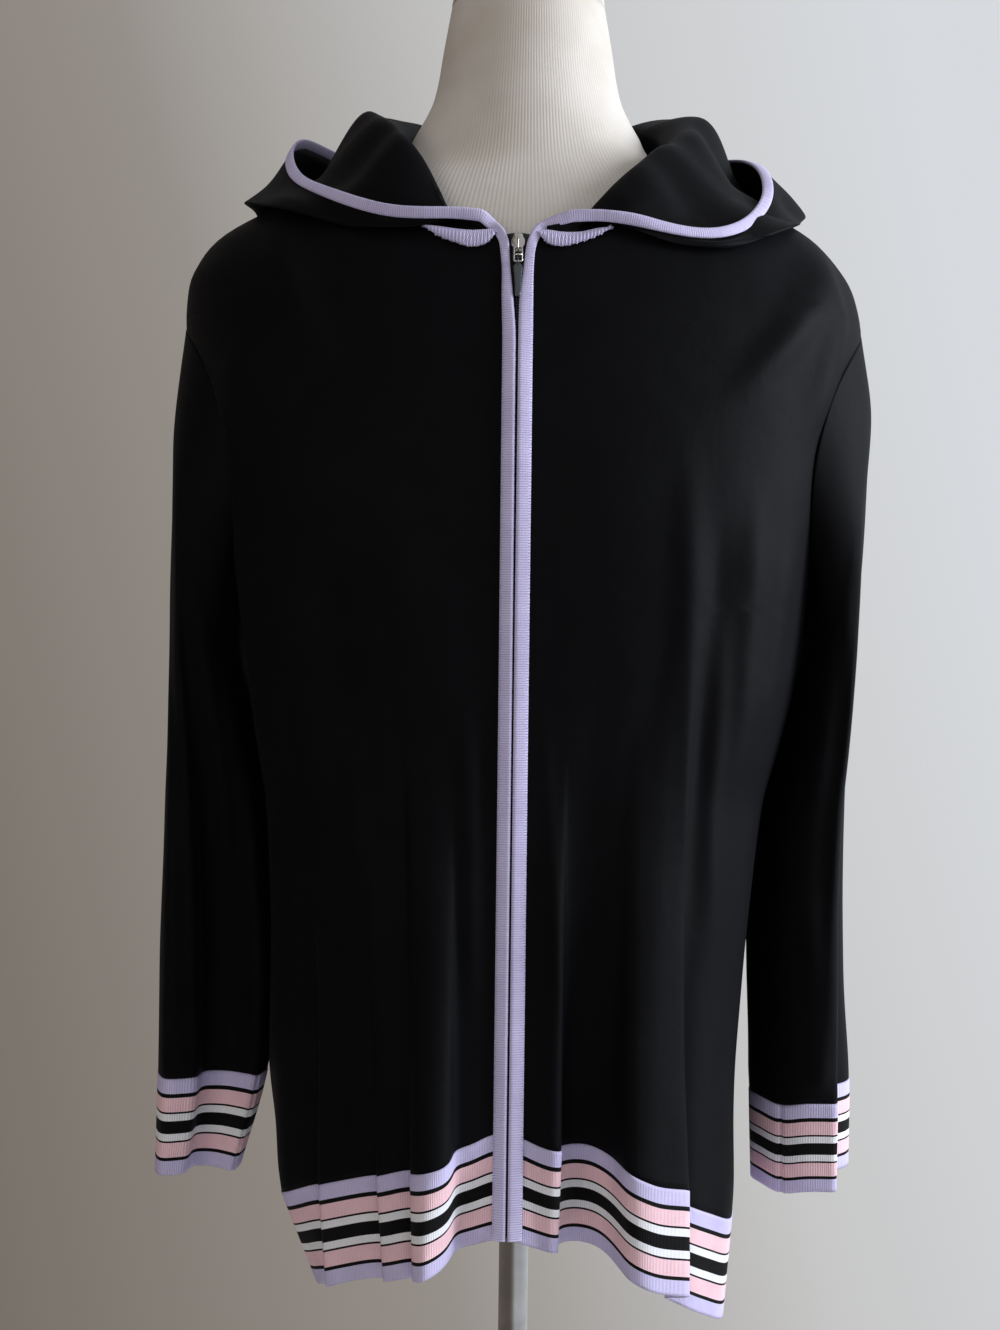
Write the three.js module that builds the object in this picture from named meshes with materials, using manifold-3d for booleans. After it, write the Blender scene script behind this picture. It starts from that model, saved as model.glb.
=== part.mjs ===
// A hooded zip cardigan of fine knit, worn by a limbless dress form on a chrome stand.
// Millimetres. +Z is up, the form faces -Y, the floor is Z = 0 and the pole runs up the Z axis.
// Left and right are the wearer's, so left is +X.
// An angle is measured round the body from the front: 0 faces -Y, 90 faces +X, 180 faces +Y.

import * as THREE from "three";
import { mergeVertices } from "three/addons/utils/BufferGeometryUtils.js";
import Module from "manifold-3d";

const clothWall = 1.6;
const trimWall = 2.2;
const tapeWall = 1.0;
const seamGap = 0.3;
const neckGap = 0.9; // where the hood's knit turns sharply away from the panels, and at its bound rim

const borderHeight = 72; // the striped knit at the hem
const closureX = -5; // the zip runs a little to the right of the pole
const bandWidth = 9;
const hoodTrimWidth = 7.4;
const neckTrimWidth = 8;
const neckTrimFrom = 13;
const neckTrimTo = 30;
const tapeWidth = 13;
const tapeDepth = 2.2; // from the panels' outer face to the tape's
const bandClear = 9.5; // from the band's middle to the first line of knit beside it
const flatFront = { from: 5, to: 12 }; // the angles over which folds fade out towards the zip

const armholeMiddle = 1156;
const armholeHalf = 106;
const armholeReach = 24; // degrees that the armhole takes out of each panel
const sleeveBlend = 75; // the length over which a sleeve rounds out below its armhole

const neckTop = 1505;
const capHeight = 8;
const formBottom = 770;
const poleRadius = 11;
const baseRadius = 172;
const baseThickness = 14;

const sliderHeight = 1293;
const pullAxisOut = 5.3; // from the zip tape to the middle of the pull
const linkPivot = -1.2; // heights on the slider, measured along the zip
const tabPivot = -12.3;

const black = new THREE.MeshStandardMaterial({ color: 0x141416, roughness: 0.85 });
const lavender = new THREE.MeshStandardMaterial({ color: 0xb9b4dc, roughness: 0.9 });
const stripes = new THREE.MeshStandardMaterial({ color: 0xb89cad, roughness: 0.9 });
const cream = new THREE.MeshStandardMaterial({ color: 0xd3ccbd, roughness: 0.95 });
const chrome = new THREE.MeshStandardMaterial({ color: 0xc8c8c8, roughness: 0.15, metalness: 1 });
const nickel = new THREE.MeshStandardMaterial({ color: 0xb9b2a6, roughness: 0.25, metalness: 1 });
const gunmetal = new THREE.MeshStandardMaterial({ color: 0x3a3f42, roughness: 0.35, metalness: 0.6 });

// The garment's body at each height: half widths, depths and squareness of the section.
const bodyTable = [
  { z: 540, left: 148, right: 150, front: 150, back: 128, square: 2.7 },
  { z: 625, left: 156, right: 166, front: 150, back: 126, square: 2.7 },
  { z: 715, left: 155, right: 174, front: 149, back: 124, square: 2.7 },
  { z: 850, left: 166, right: 178, front: 147, back: 122, square: 2.7 },
  { z: 918, left: 174, right: 185, front: 147, back: 121, square: 2.7 },
  { z: 955, left: 188, right: 192, front: 148, back: 121, square: 2.7 },
  { z: 1032, left: 202, right: 203, front: 153, back: 122, square: 2.7 },
  { z: 1100, left: 212, right: 213, front: 158, back: 126, square: 2.7 },
  { z: 1150, left: 224, right: 226, front: 160, back: 129, square: 2.6 },
  { z: 1200, left: 237, right: 239, front: 156, back: 130, square: 2.5 },
  { z: 1250, left: 249, right: 251, front: 145, back: 127, square: 2.4 },
  { z: 1280, left: 246, right: 252, front: 135, back: 121, square: 2.3 },
  { z: 1300, left: 238, right: 248, front: 128, back: 115, square: 2.2 },
  { z: 1325, left: 217, right: 230, front: 116, back: 106, square: 2.1 },
  { z: 1350, left: 178, right: 186, front: 103, back: 97, square: 2.0 },
  { z: 1372, left: 138, right: 140, front: 94, back: 88, square: 2.0 },
  { z: 1388, left: 112, right: 112, front: 88, back: 82, square: 2.0 },
];

// Hem and neckline heights round the body; negative angles are the right half.
const hemTable = [
  { angle: -180, z: 576 },
  { angle: -120, z: 574 },
  { angle: -85, z: 572 },
  { angle: -60, z: 578 },
  { angle: -46, z: 587 },
  { angle: -30, z: 604 },
  { angle: -15, z: 622 },
  { angle: -2, z: 634 },
  { angle: 5, z: 631 },
  { angle: 12, z: 623 },
  { angle: 24, z: 627 },
  { angle: 36, z: 602 },
  { angle: 48, z: 572 },
  { angle: 64, z: 558 },
  { angle: 120, z: 570 },
  { angle: 180, z: 576 },
];
const neckTable = [
  { angle: 0, z: 1303 },
  { angle: 10, z: 1304 },
  { angle: 18, z: 1305 },
  { angle: 24, z: 1308 },
  { angle: 31, z: 1317 },
  { angle: 40, z: 1336 },
  { angle: 50, z: 1356 },
  { angle: 60, z: 1369 },
  { angle: 75, z: 1380 },
  { angle: 90, z: 1385 },
  { angle: 180, z: 1387 },
];

// Hanging folds: a ridge, or a valley where the depth is negative, that starts at one height and is
// full at another.
const foldTable = [
  { hem: 13, top: 16, start: 1000, full: 660, width: 7, depth: 8 },
  { hem: 24, top: 27, start: 1000, full: 640, width: 8, depth: -9 },
  { hem: 38, top: 42, start: 1180, full: 760, width: 8, depth: 12 },
  { hem: 62, top: 60, start: 1120, full: 780, width: 10, depth: 8 },
  { hem: -15, top: -19, start: 1120, full: 640, width: 8, depth: -7 },
  { hem: -30, top: -32, start: 1200, full: 700, width: 8, depth: 9 },
  { hem: -49, top: -46, start: 1120, full: 700, width: 9, depth: 11 },
  { hem: 104, top: 108, start: 1050, full: 680, width: 12, depth: 9 },
  { hem: 132, top: 138, start: 1120, full: 700, width: 11, depth: 12 },
  { hem: 163, top: 160, start: 1040, full: 660, width: 12, depth: 8 },
  { hem: -168, top: -164, start: 1120, full: 720, width: 11, depth: 10 },
  { hem: -141, top: -146, start: 1080, full: 680, width: 12, depth: 12 },
  { hem: -110, top: -112, start: 1000, full: 660, width: 12, depth: 9 },
];

// Sleeve tubes from the armhole down to the cuff's edge: inner and outer distance from the pole's plane.
const sleeveTables = {
  left: [
    { z: 623, inner: 181, outer: 262, depth: 34, back: 0 },
    { z: 694, inner: 177, outer: 260, depth: 38, back: 2 },
    { z: 760, inner: 177, outer: 257, depth: 50, back: 6 },
    { z: 846, inner: 179, outer: 255, depth: 60, back: 8 },
    { z: 900, inner: 184, outer: 254, depth: 66, back: 8 },
    { z: 955, inner: 197, outer: 253, depth: 72, back: 6 },
    { z: 1000, inner: 206, outer: 252, depth: 76, back: 5 },
    { z: 1053, inner: 208, outer: 252, depth: 80, back: 4 },
    { z: 1144, inner: 207, outer: 254, depth: 86, back: 4 },
    { z: 1204, inner: 207, outer: 258, depth: 86, back: 5 },
    { z: 1270, inner: 207, outer: 255, depth: 84, back: 6 },
  ],
  right: [
    { z: 634, inner: 207, outer: 269, depth: 32, back: 0 },
    { z: 705, inner: 188, outer: 268, depth: 38, back: 2 },
    { z: 760, inner: 187, outer: 268, depth: 50, back: 6 },
    { z: 846, inner: 189, outer: 266, depth: 60, back: 8 },
    { z: 900, inner: 194, outer: 265, depth: 66, back: 8 },
    { z: 955, inner: 202, outer: 263, depth: 72, back: 6 },
    { z: 1000, inner: 208, outer: 262, depth: 76, back: 5 },
    { z: 1053, inner: 210, outer: 261, depth: 80, back: 4 },
    { z: 1144, inner: 209, outer: 260, depth: 86, back: 4 },
    { z: 1204, inner: 209, outer: 259, depth: 86, back: 5 },
    { z: 1270, inner: 209, outer: 257, depth: 84, back: 6 },
  ],
};
const cuffSpan = { left: { top: 694, bottom: 623 }, right: { top: 705, bottom: 634 } };

// The folded-down hood, cut by planes through the pole. Each row follows the knit from the neckline up
// to the inner edge at the neck, over the crest, down into the pouch and out and up again to the rim.
const hoodTable = [
  { angle: 0, edgeR: 127, edgeZ: 1304, crestR: 127.3, crestZ: 1304.5, pouchR: 127.6, pouchZ: 1305 },
  { angle: 14, edgeR: 127.8, edgeZ: 1307, crestR: 128.2, crestZ: 1308, pouchR: 128.6, pouchZ: 1309 },
  { angle: 24, edgeR: 127, edgeZ: 1312, crestR: 128.4, crestZ: 1313.6, pouchR: 130.4, pouchZ: 1314 },
  { angle: 31, edgeR: 119, edgeZ: 1330, crestR: 122, crestZ: 1334, pouchR: 131, pouchZ: 1323 },
  { angle: 40, edgeR: 112, edgeZ: 1356, crestR: 117, crestZ: 1364, pouchR: 138, pouchZ: 1336 },
  { angle: 53, edgeR: 105, edgeZ: 1378, crestR: 113, crestZ: 1390, pouchR: 150, pouchZ: 1345 },
  { angle: 70, edgeR: 99, edgeZ: 1394, crestR: 112, crestZ: 1408, pouchR: 160, pouchZ: 1352 },
  { angle: 85, edgeR: 97, edgeZ: 1402, crestR: 112, crestZ: 1417, pouchR: 163, pouchZ: 1360 },
  { angle: 100, edgeR: 93, edgeZ: 1406, crestR: 112, crestZ: 1422, pouchR: 163, pouchZ: 1358 },
  { angle: 120, edgeR: 88, edgeZ: 1407, crestR: 109, crestZ: 1428, pouchR: 160, pouchZ: 1335 },
  { angle: 140, edgeR: 83, edgeZ: 1407, crestR: 105, crestZ: 1432, pouchR: 156, pouchZ: 1262 },
  { angle: 160, edgeR: 79, edgeZ: 1407, crestR: 102, crestZ: 1434, pouchR: 147, pouchZ: 1195 },
  { angle: 180, edgeR: 78, edgeZ: 1407, crestR: 101, crestZ: 1435, pouchR: 147, pouchZ: 1175 },
];
// The widest part of the pouch's outer wall and the rim above it, for each half of the hood.
const pouchTables = {
  left: [
    { angle: 0, bulgeR: 128, bulgeZ: 1305.5, rimR: 128.3, rimZ: 1306 },
    { angle: 14, bulgeR: 129.2, bulgeZ: 1310, rimR: 129.8, rimZ: 1311 },
    { angle: 24, bulgeR: 133, bulgeZ: 1313.6, rimR: 135.4, rimZ: 1315 },
    { angle: 31, bulgeR: 142, bulgeZ: 1307, rimR: 147, rimZ: 1311 },
    { angle: 40, bulgeR: 155, bulgeZ: 1299, rimR: 158, rimZ: 1305 },
    { angle: 48, bulgeR: 169, bulgeZ: 1297, rimR: 172, rimZ: 1303 },
    { angle: 54, bulgeR: 180, bulgeZ: 1301, rimR: 182, rimZ: 1308 },
    { angle: 60, bulgeR: 190, bulgeZ: 1310, rimR: 188, rimZ: 1319 },
    { angle: 70, bulgeR: 200, bulgeZ: 1326, rimR: 189, rimZ: 1338 },
    { angle: 80, bulgeR: 207, bulgeZ: 1338, rimR: 184, rimZ: 1353 },
    { angle: 90, bulgeR: 211, bulgeZ: 1341, rimR: 179, rimZ: 1368 },
    { angle: 100, bulgeR: 211, bulgeZ: 1340, rimR: 174, rimZ: 1384 },
    { angle: 120, bulgeR: 206, bulgeZ: 1318, rimR: 167, rimZ: 1398 },
    { angle: 140, bulgeR: 195, bulgeZ: 1264, rimR: 162, rimZ: 1399 },
    { angle: 160, bulgeR: 187, bulgeZ: 1235, rimR: 158, rimZ: 1394 },
    { angle: 180, bulgeR: 184, bulgeZ: 1222, rimR: 156, rimZ: 1391 },
  ],
  right: [
    { angle: 0, bulgeR: 128, bulgeZ: 1305.5, rimR: 128.3, rimZ: 1306 },
    { angle: 14, bulgeR: 129.2, bulgeZ: 1310, rimR: 129.8, rimZ: 1311 },
    { angle: 24, bulgeR: 133, bulgeZ: 1313.6, rimR: 136.2, rimZ: 1316 },
    { angle: 31, bulgeR: 142, bulgeZ: 1309, rimR: 147, rimZ: 1314 },
    { angle: 40, bulgeR: 155, bulgeZ: 1309, rimR: 157, rimZ: 1318 },
    { angle: 52, bulgeR: 172, bulgeZ: 1317, rimR: 168, rimZ: 1332 },
    { angle: 60, bulgeR: 184, bulgeZ: 1326, rimR: 173, rimZ: 1343 },
    { angle: 70, bulgeR: 196, bulgeZ: 1336, rimR: 178, rimZ: 1357 },
    { angle: 87, bulgeR: 208, bulgeZ: 1344, rimR: 179, rimZ: 1391 },
    { angle: 97, bulgeR: 208, bulgeZ: 1345, rimR: 175, rimZ: 1408 },
    { angle: 120, bulgeR: 204, bulgeZ: 1320, rimR: 166, rimZ: 1410 },
    { angle: 140, bulgeR: 195, bulgeZ: 1264, rimR: 161, rimZ: 1403 },
    { angle: 160, bulgeR: 187, bulgeZ: 1235, rimR: 158, rimZ: 1394 },
    { angle: 180, bulgeR: 184, bulgeZ: 1222, rimR: 156, rimZ: 1391 },
  ],
};

// The form under the knit.
const formTable = [
  { z: 770, half: 126, front: 98, back: 88 },
  { z: 778, half: 136, front: 106, back: 95 },
  { z: 850, half: 148, front: 120, back: 104 },
  { z: 918, half: 150, front: 122, back: 103 },
  { z: 970, half: 152, front: 122, back: 100 },
  { z: 1032, half: 160, front: 132, back: 102 },
  { z: 1100, half: 173, front: 145, back: 108 },
  { z: 1160, half: 184, front: 150, back: 113 },
  { z: 1200, half: 194, front: 145, back: 115 },
  { z: 1250, half: 206, front: 133, back: 113 },
  { z: 1300, half: 212, front: 115, back: 104 },
  { z: 1325, half: 209, front: 104, back: 95 },
  { z: 1350, half: 173.2, front: 91, back: 86 },
  { z: 1372, half: 121, front: 79, back: 76 },
  { z: 1390, half: 94, front: 74, back: 71 },
  { z: 1404, half: 86, front: 71, back: 68 },
  { z: 1428, half: 73, front: 67, back: 65 },
  { z: 1446, half: 68, front: 63, back: 62 },
  { z: 1471, half: 64, front: 60, back: 60 },
  { z: 1505, half: 58, front: 56, back: 56 },
];

// The front band's middle near the top: distance from the zip against height.
const bandTable = [
  { z: 560, out: 5.6 },
  { z: 1225, out: 5.6 },
  { z: 1257, out: 6.6 },
  { z: 1277, out: 8.9 },
  { z: 1290, out: 9.8 },
];
const bandTurn = [
  { out: 11, z: 1298.5 },
  { out: 13, z: 1304.5 },
  { out: 15.4, z: 1307.6 },
];

const radians = (degrees) => THREE.MathUtils.degToRad(degrees);
const degrees = (angle) => THREE.MathUtils.radToDeg(angle);
const sideSign = { left: 1, right: -1 };

// A smooth curve through one column of a table.
function columnOf(table, key, name) {
  const last = table.length - 1;
  const slope = (i) => {
    const before = table[Math.max(i - 1, 0)];
    const after = table[Math.min(i + 1, last)];
    return (after[name] - before[name]) / (after[key] - before[key]);
  };
  return (value) => {
    const v = THREE.MathUtils.clamp(value, table[0][key], table[last][key]);
    let i = 0;
    while (i < last - 1 && v > table[i + 1][key]) i += 1;
    const span = table[i + 1][key] - table[i][key];
    const t = (v - table[i][key]) / span;
    const bend = t * t * (3 - 2 * t);
    const rise = (table[i + 1][name] - table[i][name]) * bend;
    const lean = span * t * (1 - t) * (slope(i) * (1 - t) - slope(i + 1) * t);
    return table[i][name] + rise + lean;
  };
}

function columnsOf(table, key, names) {
  return Object.fromEntries(names.map((name) => [name, columnOf(table, key, name)]));
}

const bodyAt = columnsOf(bodyTable, "z", ["left", "right", "front", "back", "square"]);
const formAt = columnsOf(formTable, "z", ["half", "front", "back"]);
const hemAt = columnOf(hemTable, "angle", "z");
const neckHeight = columnOf(neckTable, "angle", "z");
const neckAt = (angle) => neckHeight(Math.abs(angle));
const hoodAt = columnsOf(hoodTable, "angle", ["edgeR", "edgeZ", "crestR", "crestZ", "pouchR", "pouchZ"]);
const sleeveAt = {};
const pouchAt = {};
for (const side of ["left", "right"]) {
  sleeveAt[side] = columnsOf(sleeveTables[side], "z", ["inner", "outer", "depth", "back"]);
  pouchAt[side] = columnsOf(pouchTables[side], "angle", ["bulgeR", "bulgeZ", "rimR", "rimZ"]);
}

// Angles run from -180 to 180; the left half is the positive one.
function wrapAngle(angle) {
  return ((((angle + 180) % 360) + 360) % 360) - 180;
}

function foldDepth(angle, z) {
  let sum = 0;
  for (const fold of foldTable) {
    const k = THREE.MathUtils.smoothstep(-z, -fold.start, -fold.full);
    const centre = THREE.MathUtils.lerp(fold.top, fold.hem, k);
    const away = wrapAngle(angle - centre) / fold.width;
    sum += fold.depth * k * Math.exp(-away * away);
  }
  return sum * THREE.MathUtils.smoothstep(Math.abs(angle), flatFront.from, flatFront.to);
}

// The garment's outer face at an angle and a height, moved out by a distance.
function bodyPoint(angle, z, out = 0) {
  const turned = wrapAngle(angle);
  const sine = Math.sin(radians(turned));
  const cosine = Math.cos(radians(turned));
  const half = turned >= 0 ? bodyAt.left(z) : bodyAt.right(z);
  const deep = cosine >= 0 ? bodyAt.front(z) : bodyAt.back(z);
  const n = bodyAt.square(z);
  const across = Math.abs(sine) / half;
  const along = Math.abs(cosine) / deep;
  const r = (across ** n + along ** n) ** (-1 / n);
  const nx = (Math.sign(sine) * across ** (n - 1)) / half;
  const ny = (-Math.sign(cosine) * along ** (n - 1)) / deep;
  const length = Math.hypot(nx, ny);
  const move = foldDepth(turned, z) + out;
  return new THREE.Vector3(
    r * sine + (nx / length) * move,
    -r * cosine + (ny / length) * move,
    z,
  );
}

function bodyRadius(angle, z) {
  const point = bodyPoint(angle, z);
  return Math.hypot(point.x, point.y);
}

// The angle at which the front reaches a distance x from the pole's plane.
function frontAngle(x, z) {
  const half = x >= 0 ? bodyAt.left(z) : bodyAt.right(z);
  const n = bodyAt.square(z);
  const deep = bodyAt.front(z) * (1 - Math.abs(x / half) ** n) ** (1 / n);
  return degrees(Math.atan2(x, deep));
}

function armholeCut(z) {
  const u = (z - armholeMiddle) / armholeHalf;
  return Math.abs(u) >= 1 ? 0 : armholeReach * (1 - u * u) ** 0.6;
}

// ---- Meshes from grids ----

function closedMesh(name, points, triangles, material) {
  const geometry = new THREE.BufferGeometry();
  const coordinates = points.flatMap((p) => p.toArray());
  geometry.setAttribute("position", new THREE.Float32BufferAttribute(coordinates, 3));
  const a = new THREE.Vector3();
  let volume = 0;
  for (const [i, j, k] of triangles) volume += points[i].dot(a.crossVectors(points[j], points[k]));
  const faces = volume >= 0 ? triangles : triangles.map(([i, j, k]) => [i, k, j]);
  geometry.setIndex(faces.flat());
  geometry.computeVertexNormals();
  const mesh = new THREE.Mesh(geometry, material);
  mesh.name = name;
  return mesh;
}

// Unit normals of a grid; a wrapped grid joins its last column to its first. Where the grid ends on the
// plane across the seam axis, its normals lie in that plane, so the two sides of the seam meet squarely.
function gridNormals(grid, wrap, seamAxis) {
  const rows = grid.length;
  const columns = grid[0].length;
  const kept = (j) => (wrap ? (j + columns) % columns : THREE.MathUtils.clamp(j, 0, columns - 1));
  const pick = (list, j) => list[kept(j)];
  return grid.map((row, i) =>
    row.map((_, j) => {
      const along = pick(row, j + 1).clone().sub(pick(row, j - 1));
      const up = grid[Math.min(i + 1, rows - 1)][j].clone().sub(grid[Math.max(i - 1, 0)][j]);
      const normal = along.cross(up);
      if (seamAxis && Math.abs(row[j][seamAxis]) < 1) normal[seamAxis] = 0;
      return normal.normalize();
    }),
  );
}

// A wall of cloth whose outer face is the grid. Flip turns the wall to the grid's other side.
function clothWallMesh(name, grid, wall, material, { wrap = false, flip = false, seamAxis = "" } = {}) {
  const rows = grid.length;
  const columns = grid[0].length;
  const normals = gridNormals(grid, wrap, seamAxis);
  const depth = flip ? wall : -wall;
  const outer = grid.flat();
  const sunk = (p, i, j) => p.clone().addScaledVector(normals[i][j], depth);
  const inner = grid.flatMap((row, i) => row.map((p, j) => sunk(p, i, j)));
  const points = [...outer, ...inner];
  const count = outer.length;
  const id = (i, j) => i * columns + (j % columns);
  const triangles = [];
  const quad = (a, b, c, d) => triangles.push([a, b, c], [a, c, d]);
  const lastColumn = wrap ? columns : columns - 1;
  for (let i = 0; i < rows - 1; i += 1) {
    for (let j = 0; j < lastColumn; j += 1) {
      const corners = [id(i, j), id(i, j + 1), id(i + 1, j + 1), id(i + 1, j)];
      quad(...corners);
      const [a, b, c, d] = corners.map((v) => v + count);
      triangles.push([a, c, b], [a, d, c]);
    }
  }
  for (let j = 0; j < lastColumn; j += 1) {
    quad(id(0, j + 1), id(0, j), id(0, j) + count, id(0, j + 1) + count);
    quad(id(rows - 1, j), id(rows - 1, j + 1), id(rows - 1, j + 1) + count, id(rows - 1, j) + count);
  }
  if (!wrap) {
    for (let i = 0; i < rows - 1; i += 1) {
      quad(id(i, 0), id(i + 1, 0), id(i + 1, 0) + count, id(i, 0) + count);
      const near = id(i, columns - 1);
      const far = id(i + 1, columns - 1);
      quad(far, near, near + count, far + count);
    }
  }
  return closedMesh(name, points, triangles, material);
}

// A solid through rings of points, closed flat at both ends.
function ringSolid(name, rings, material) {
  const count = rings[0].length;
  const points = rings.flat();
  const triangles = [];
  for (let i = 0; i < rings.length - 1; i += 1) {
    for (let j = 0; j < count; j += 1) {
      const a = i * count + j;
      const b = i * count + ((j + 1) % count);
      triangles.push([a, b, b + count], [a, b + count, a + count]);
    }
  }
  for (const [ring, up] of [[0, false], [rings.length - 1, true]]) {
    const middle = new THREE.Vector3();
    rings[ring].forEach((p) => middle.addScaledVector(p, 1 / count));
    points.push(middle);
    const centre = points.length - 1;
    for (let j = 0; j < count; j += 1) {
      const a = ring * count + j;
      const b = ring * count + ((j + 1) % count);
      triangles.push(up ? [a, b, centre] : [b, a, centre]);
    }
  }
  return closedMesh(name, points, triangles, material);
}

const steps = (count, from = 0, to = 1) =>
  Array.from({ length: count + 1 }, (_, i) => THREE.MathUtils.lerp(from, to, i / count));

// ---- The dress form and its stand ----

function formRing(z, shrink = 0) {
  const sides = 40;
  return steps(sides - 1, 0, 360 * (1 - 1 / sides)).map((angle) => {
    const sine = Math.sin(radians(angle));
    const cosine = Math.cos(radians(angle));
    const half = formAt.half(z) - shrink;
    const deep = (cosine >= 0 ? formAt.front(z) : formAt.back(z)) - shrink;
    const r = 1 / Math.hypot(sine / half, cosine / deep);
    return new THREE.Vector3(r * sine, -r * cosine, z);
  });
}

function dressForm() {
  const heights = formTable.map((row) => row.z);
  const rings = heights.map((z) => formRing(z));
  return ringSolid("form_body", rings, cream);
}

function neckCap() {
  const from = neckTop + seamGap;
  const rounding = [
    { up: 0, shrink: 0 },
    { up: 0.5, shrink: 0.3 },
    { up: 0.85, shrink: 2 },
    { up: 1, shrink: 5 },
  ];
  const rings = rounding.map(({ up, shrink }) =>
    formRing(neckTop, shrink).map((p) => new THREE.Vector3(p.x, p.y, from + up * capHeight)),
  );
  return ringSolid("form_neck_cap", rings, cream);
}

function turned(name, profile, material) {
  const points = profile.map(([r, z]) => new THREE.Vector2(r, z));
  const geometry = new THREE.LatheGeometry(points, 48);
  geometry.rotateX(Math.PI / 2);
  const mesh = new THREE.Mesh(geometry, material);
  mesh.name = name;
  return mesh;
}

function stand() {
  const base = turned(
    "stand_base",
    [
      [0, 0], [baseRadius, 0], [baseRadius, 5], [baseRadius - 3, 8],
      [60, 11], [24, baseThickness], [0, baseThickness],
    ],
    chrome,
  );
  const from = baseThickness + seamGap;
  const length = formBottom - seamGap - from;
  const geometry = new THREE.CylinderGeometry(poleRadius, poleRadius, length, 32);
  geometry.rotateX(Math.PI / 2);
  const pole = new THREE.Mesh(geometry, chrome);
  pole.name = "stand_pole";
  pole.position.z = from + length / 2;
  const bore = poleRadius + seamGap;
  const top = formBottom - seamGap;
  const collar = turned(
    "stand_collar",
    [
      [bore, top - 22], [bore + 5, top - 22], [bore + 7, top - 4],
      [bore + 16, top - 4], [bore + 16, top], [bore, top], [bore, top - 22],
    ],
    chrome,
  );
  return [base, pole, collar];
}

// ---- The garment's body ----

const lowRows = 6;
const armRows = 8;
const shoulderRows = 4;

// Heights of a panel's rows at its side edge: up the side seam, round the armhole and along the shoulder.
function edgeHeights(angle) {
  const bottom = hemAt(angle) + borderHeight + seamGap;
  const underarm = armholeMiddle - armholeHalf;
  const tip = armholeMiddle + armholeHalf;
  const low = steps(lowRows, bottom, underarm);
  const arm = steps(armRows).map((t) => armholeMiddle - armholeHalf * Math.cos(Math.PI * t));
  const shoulder = steps(shoulderRows, tip, neckAt(angle));
  return [...low, ...arm.slice(1), ...shoulder.slice(1)];
}

// Half of the gap at a side or shoulder seam, as an angle.
const seamAngle = (z) => degrees((seamGap * 0.75) / bodyAt.left(z));

const bandOut = columnOf(bandTable, "z", "out");

const frontColumns = 12;
const backColumns = 18;

// The angles of a front panel's columns at a height: its edge by the zip, the line beside the band, then
// even steps to the side seam or the armhole.
function frontAngles(side, z) {
  const sign = sideSign[side];
  const first = frontAngle(closureX + sign * (bandOut(z) - 3.4), z);
  const beside = frontAngle(closureX + sign * (bandOut(z) + bandClear), z);
  const last = sign * (90 - armholeCut(z) - seamAngle(z));
  return [first, ...steps(frontColumns - 1, beside, last)];
}

function backAngles(z) {
  const cut = armholeCut(z) + seamAngle(z);
  return steps(backColumns, 90 + cut, 270 - cut);
}

const seamLevel = 700; // where the columns' own angles are read for the hem and the neckline

// A grid of rows of points between the border and the neckline.
function panelGrid(edge, anglesAt) {
  const heights = edgeHeights(edge);
  const bottom = heights[0];
  const top = heights[heights.length - 1];
  const own = anglesAt(seamLevel);
  return heights.map((edgeZ) => {
    const share = (edgeZ - bottom) / (top - bottom);
    return own.map((angle, j) => {
      const low = hemAt(wrapAngle(angle)) + borderHeight + seamGap;
      const z = THREE.MathUtils.lerp(low, neckAt(wrapAngle(angle)), share);
      return bodyPoint(anglesAt(z)[j], z);
    });
  });
}

const frontGrid = (side) => panelGrid(90 * sideSign[side], (z) => frontAngles(side, z));
const backGrid = () => panelGrid(90, backAngles);

function borderGrid(angles) {
  return steps(2).map((t) =>
    angles.map((angle) => bodyPoint(angle, hemAt(wrapAngle(angle)) + borderHeight * t)),
  );
}

function body() {
  const meshes = [];
  const seam = { seamAxis: "y" };
  for (const side of ["left", "right"]) {
    const form = { ...seam, flip: side === "right" };
    meshes.push(clothWallMesh(`front_${side}`, frontGrid(side), clothWall, black, form));
    const border = borderGrid(frontAngles(side, seamLevel));
    meshes.push(clothWallMesh(`hem_border_${side}`, border, clothWall, stripes, form));
  }
  meshes.push(clothWallMesh("back", backGrid(), clothWall, black, seam));
  const backBorder = borderGrid(backAngles(seamLevel));
  meshes.push(clothWallMesh("hem_border_back", backBorder, clothWall, stripes, seam));
  return meshes;
}

// ---- Sleeves and cuffs ----

// Round the sleeve, turn 0 is the outer side, a quarter turn the front and a half turn the side
// at the body.
function tubePoint(side, turn, z) {
  const table = sleeveAt[side];
  const middle = (table.outer(z) + table.inner(z)) / 2;
  const half = (table.outer(z) - table.inner(z)) / 2;
  const x = middle + half * Math.cos(turn);
  return new THREE.Vector3(sideSign[side] * x, table.back(z) - table.depth(z) * Math.sin(turn), z);
}

function armholePoint(side, turn) {
  const sign = sideSign[side];
  const z = armholeMiddle + armholeHalf * Math.cos(turn);
  const cut = armholeCut(z);
  const front = Math.sin(turn) >= 0;
  const angle = sign * (front ? 90 - cut : 90 + cut);
  const edge = bodyPoint(angle, z, 0.5);
  const middle = new THREE.Vector3(sign * bodyAt[side](armholeMiddle), 0, armholeMiddle);
  return edge.addScaledVector(middle.sub(edge).normalize(), 0.7);
}

function sleeveGrid(side) {
  const columns = 2 * armRows;
  const rows = 11;
  const bottom = cuffSpan[side].top + 2 * seamGap;
  return steps(rows).map((v) =>
    steps(columns - 1, 0, 2 * Math.PI * (1 - 1 / columns)).map((turn) => {
      const start = armholePoint(side, turn);
      const z = THREE.MathUtils.lerp(start.z, bottom, v ** 1.25);
      const near = Math.max(0, 1 - (start.z - z) / sleeveBlend);
      const point = tubePoint(side, turn, z);
      return point.lerp(new THREE.Vector3(start.x, start.y, z), near * near);
    }),
  );
}

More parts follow.
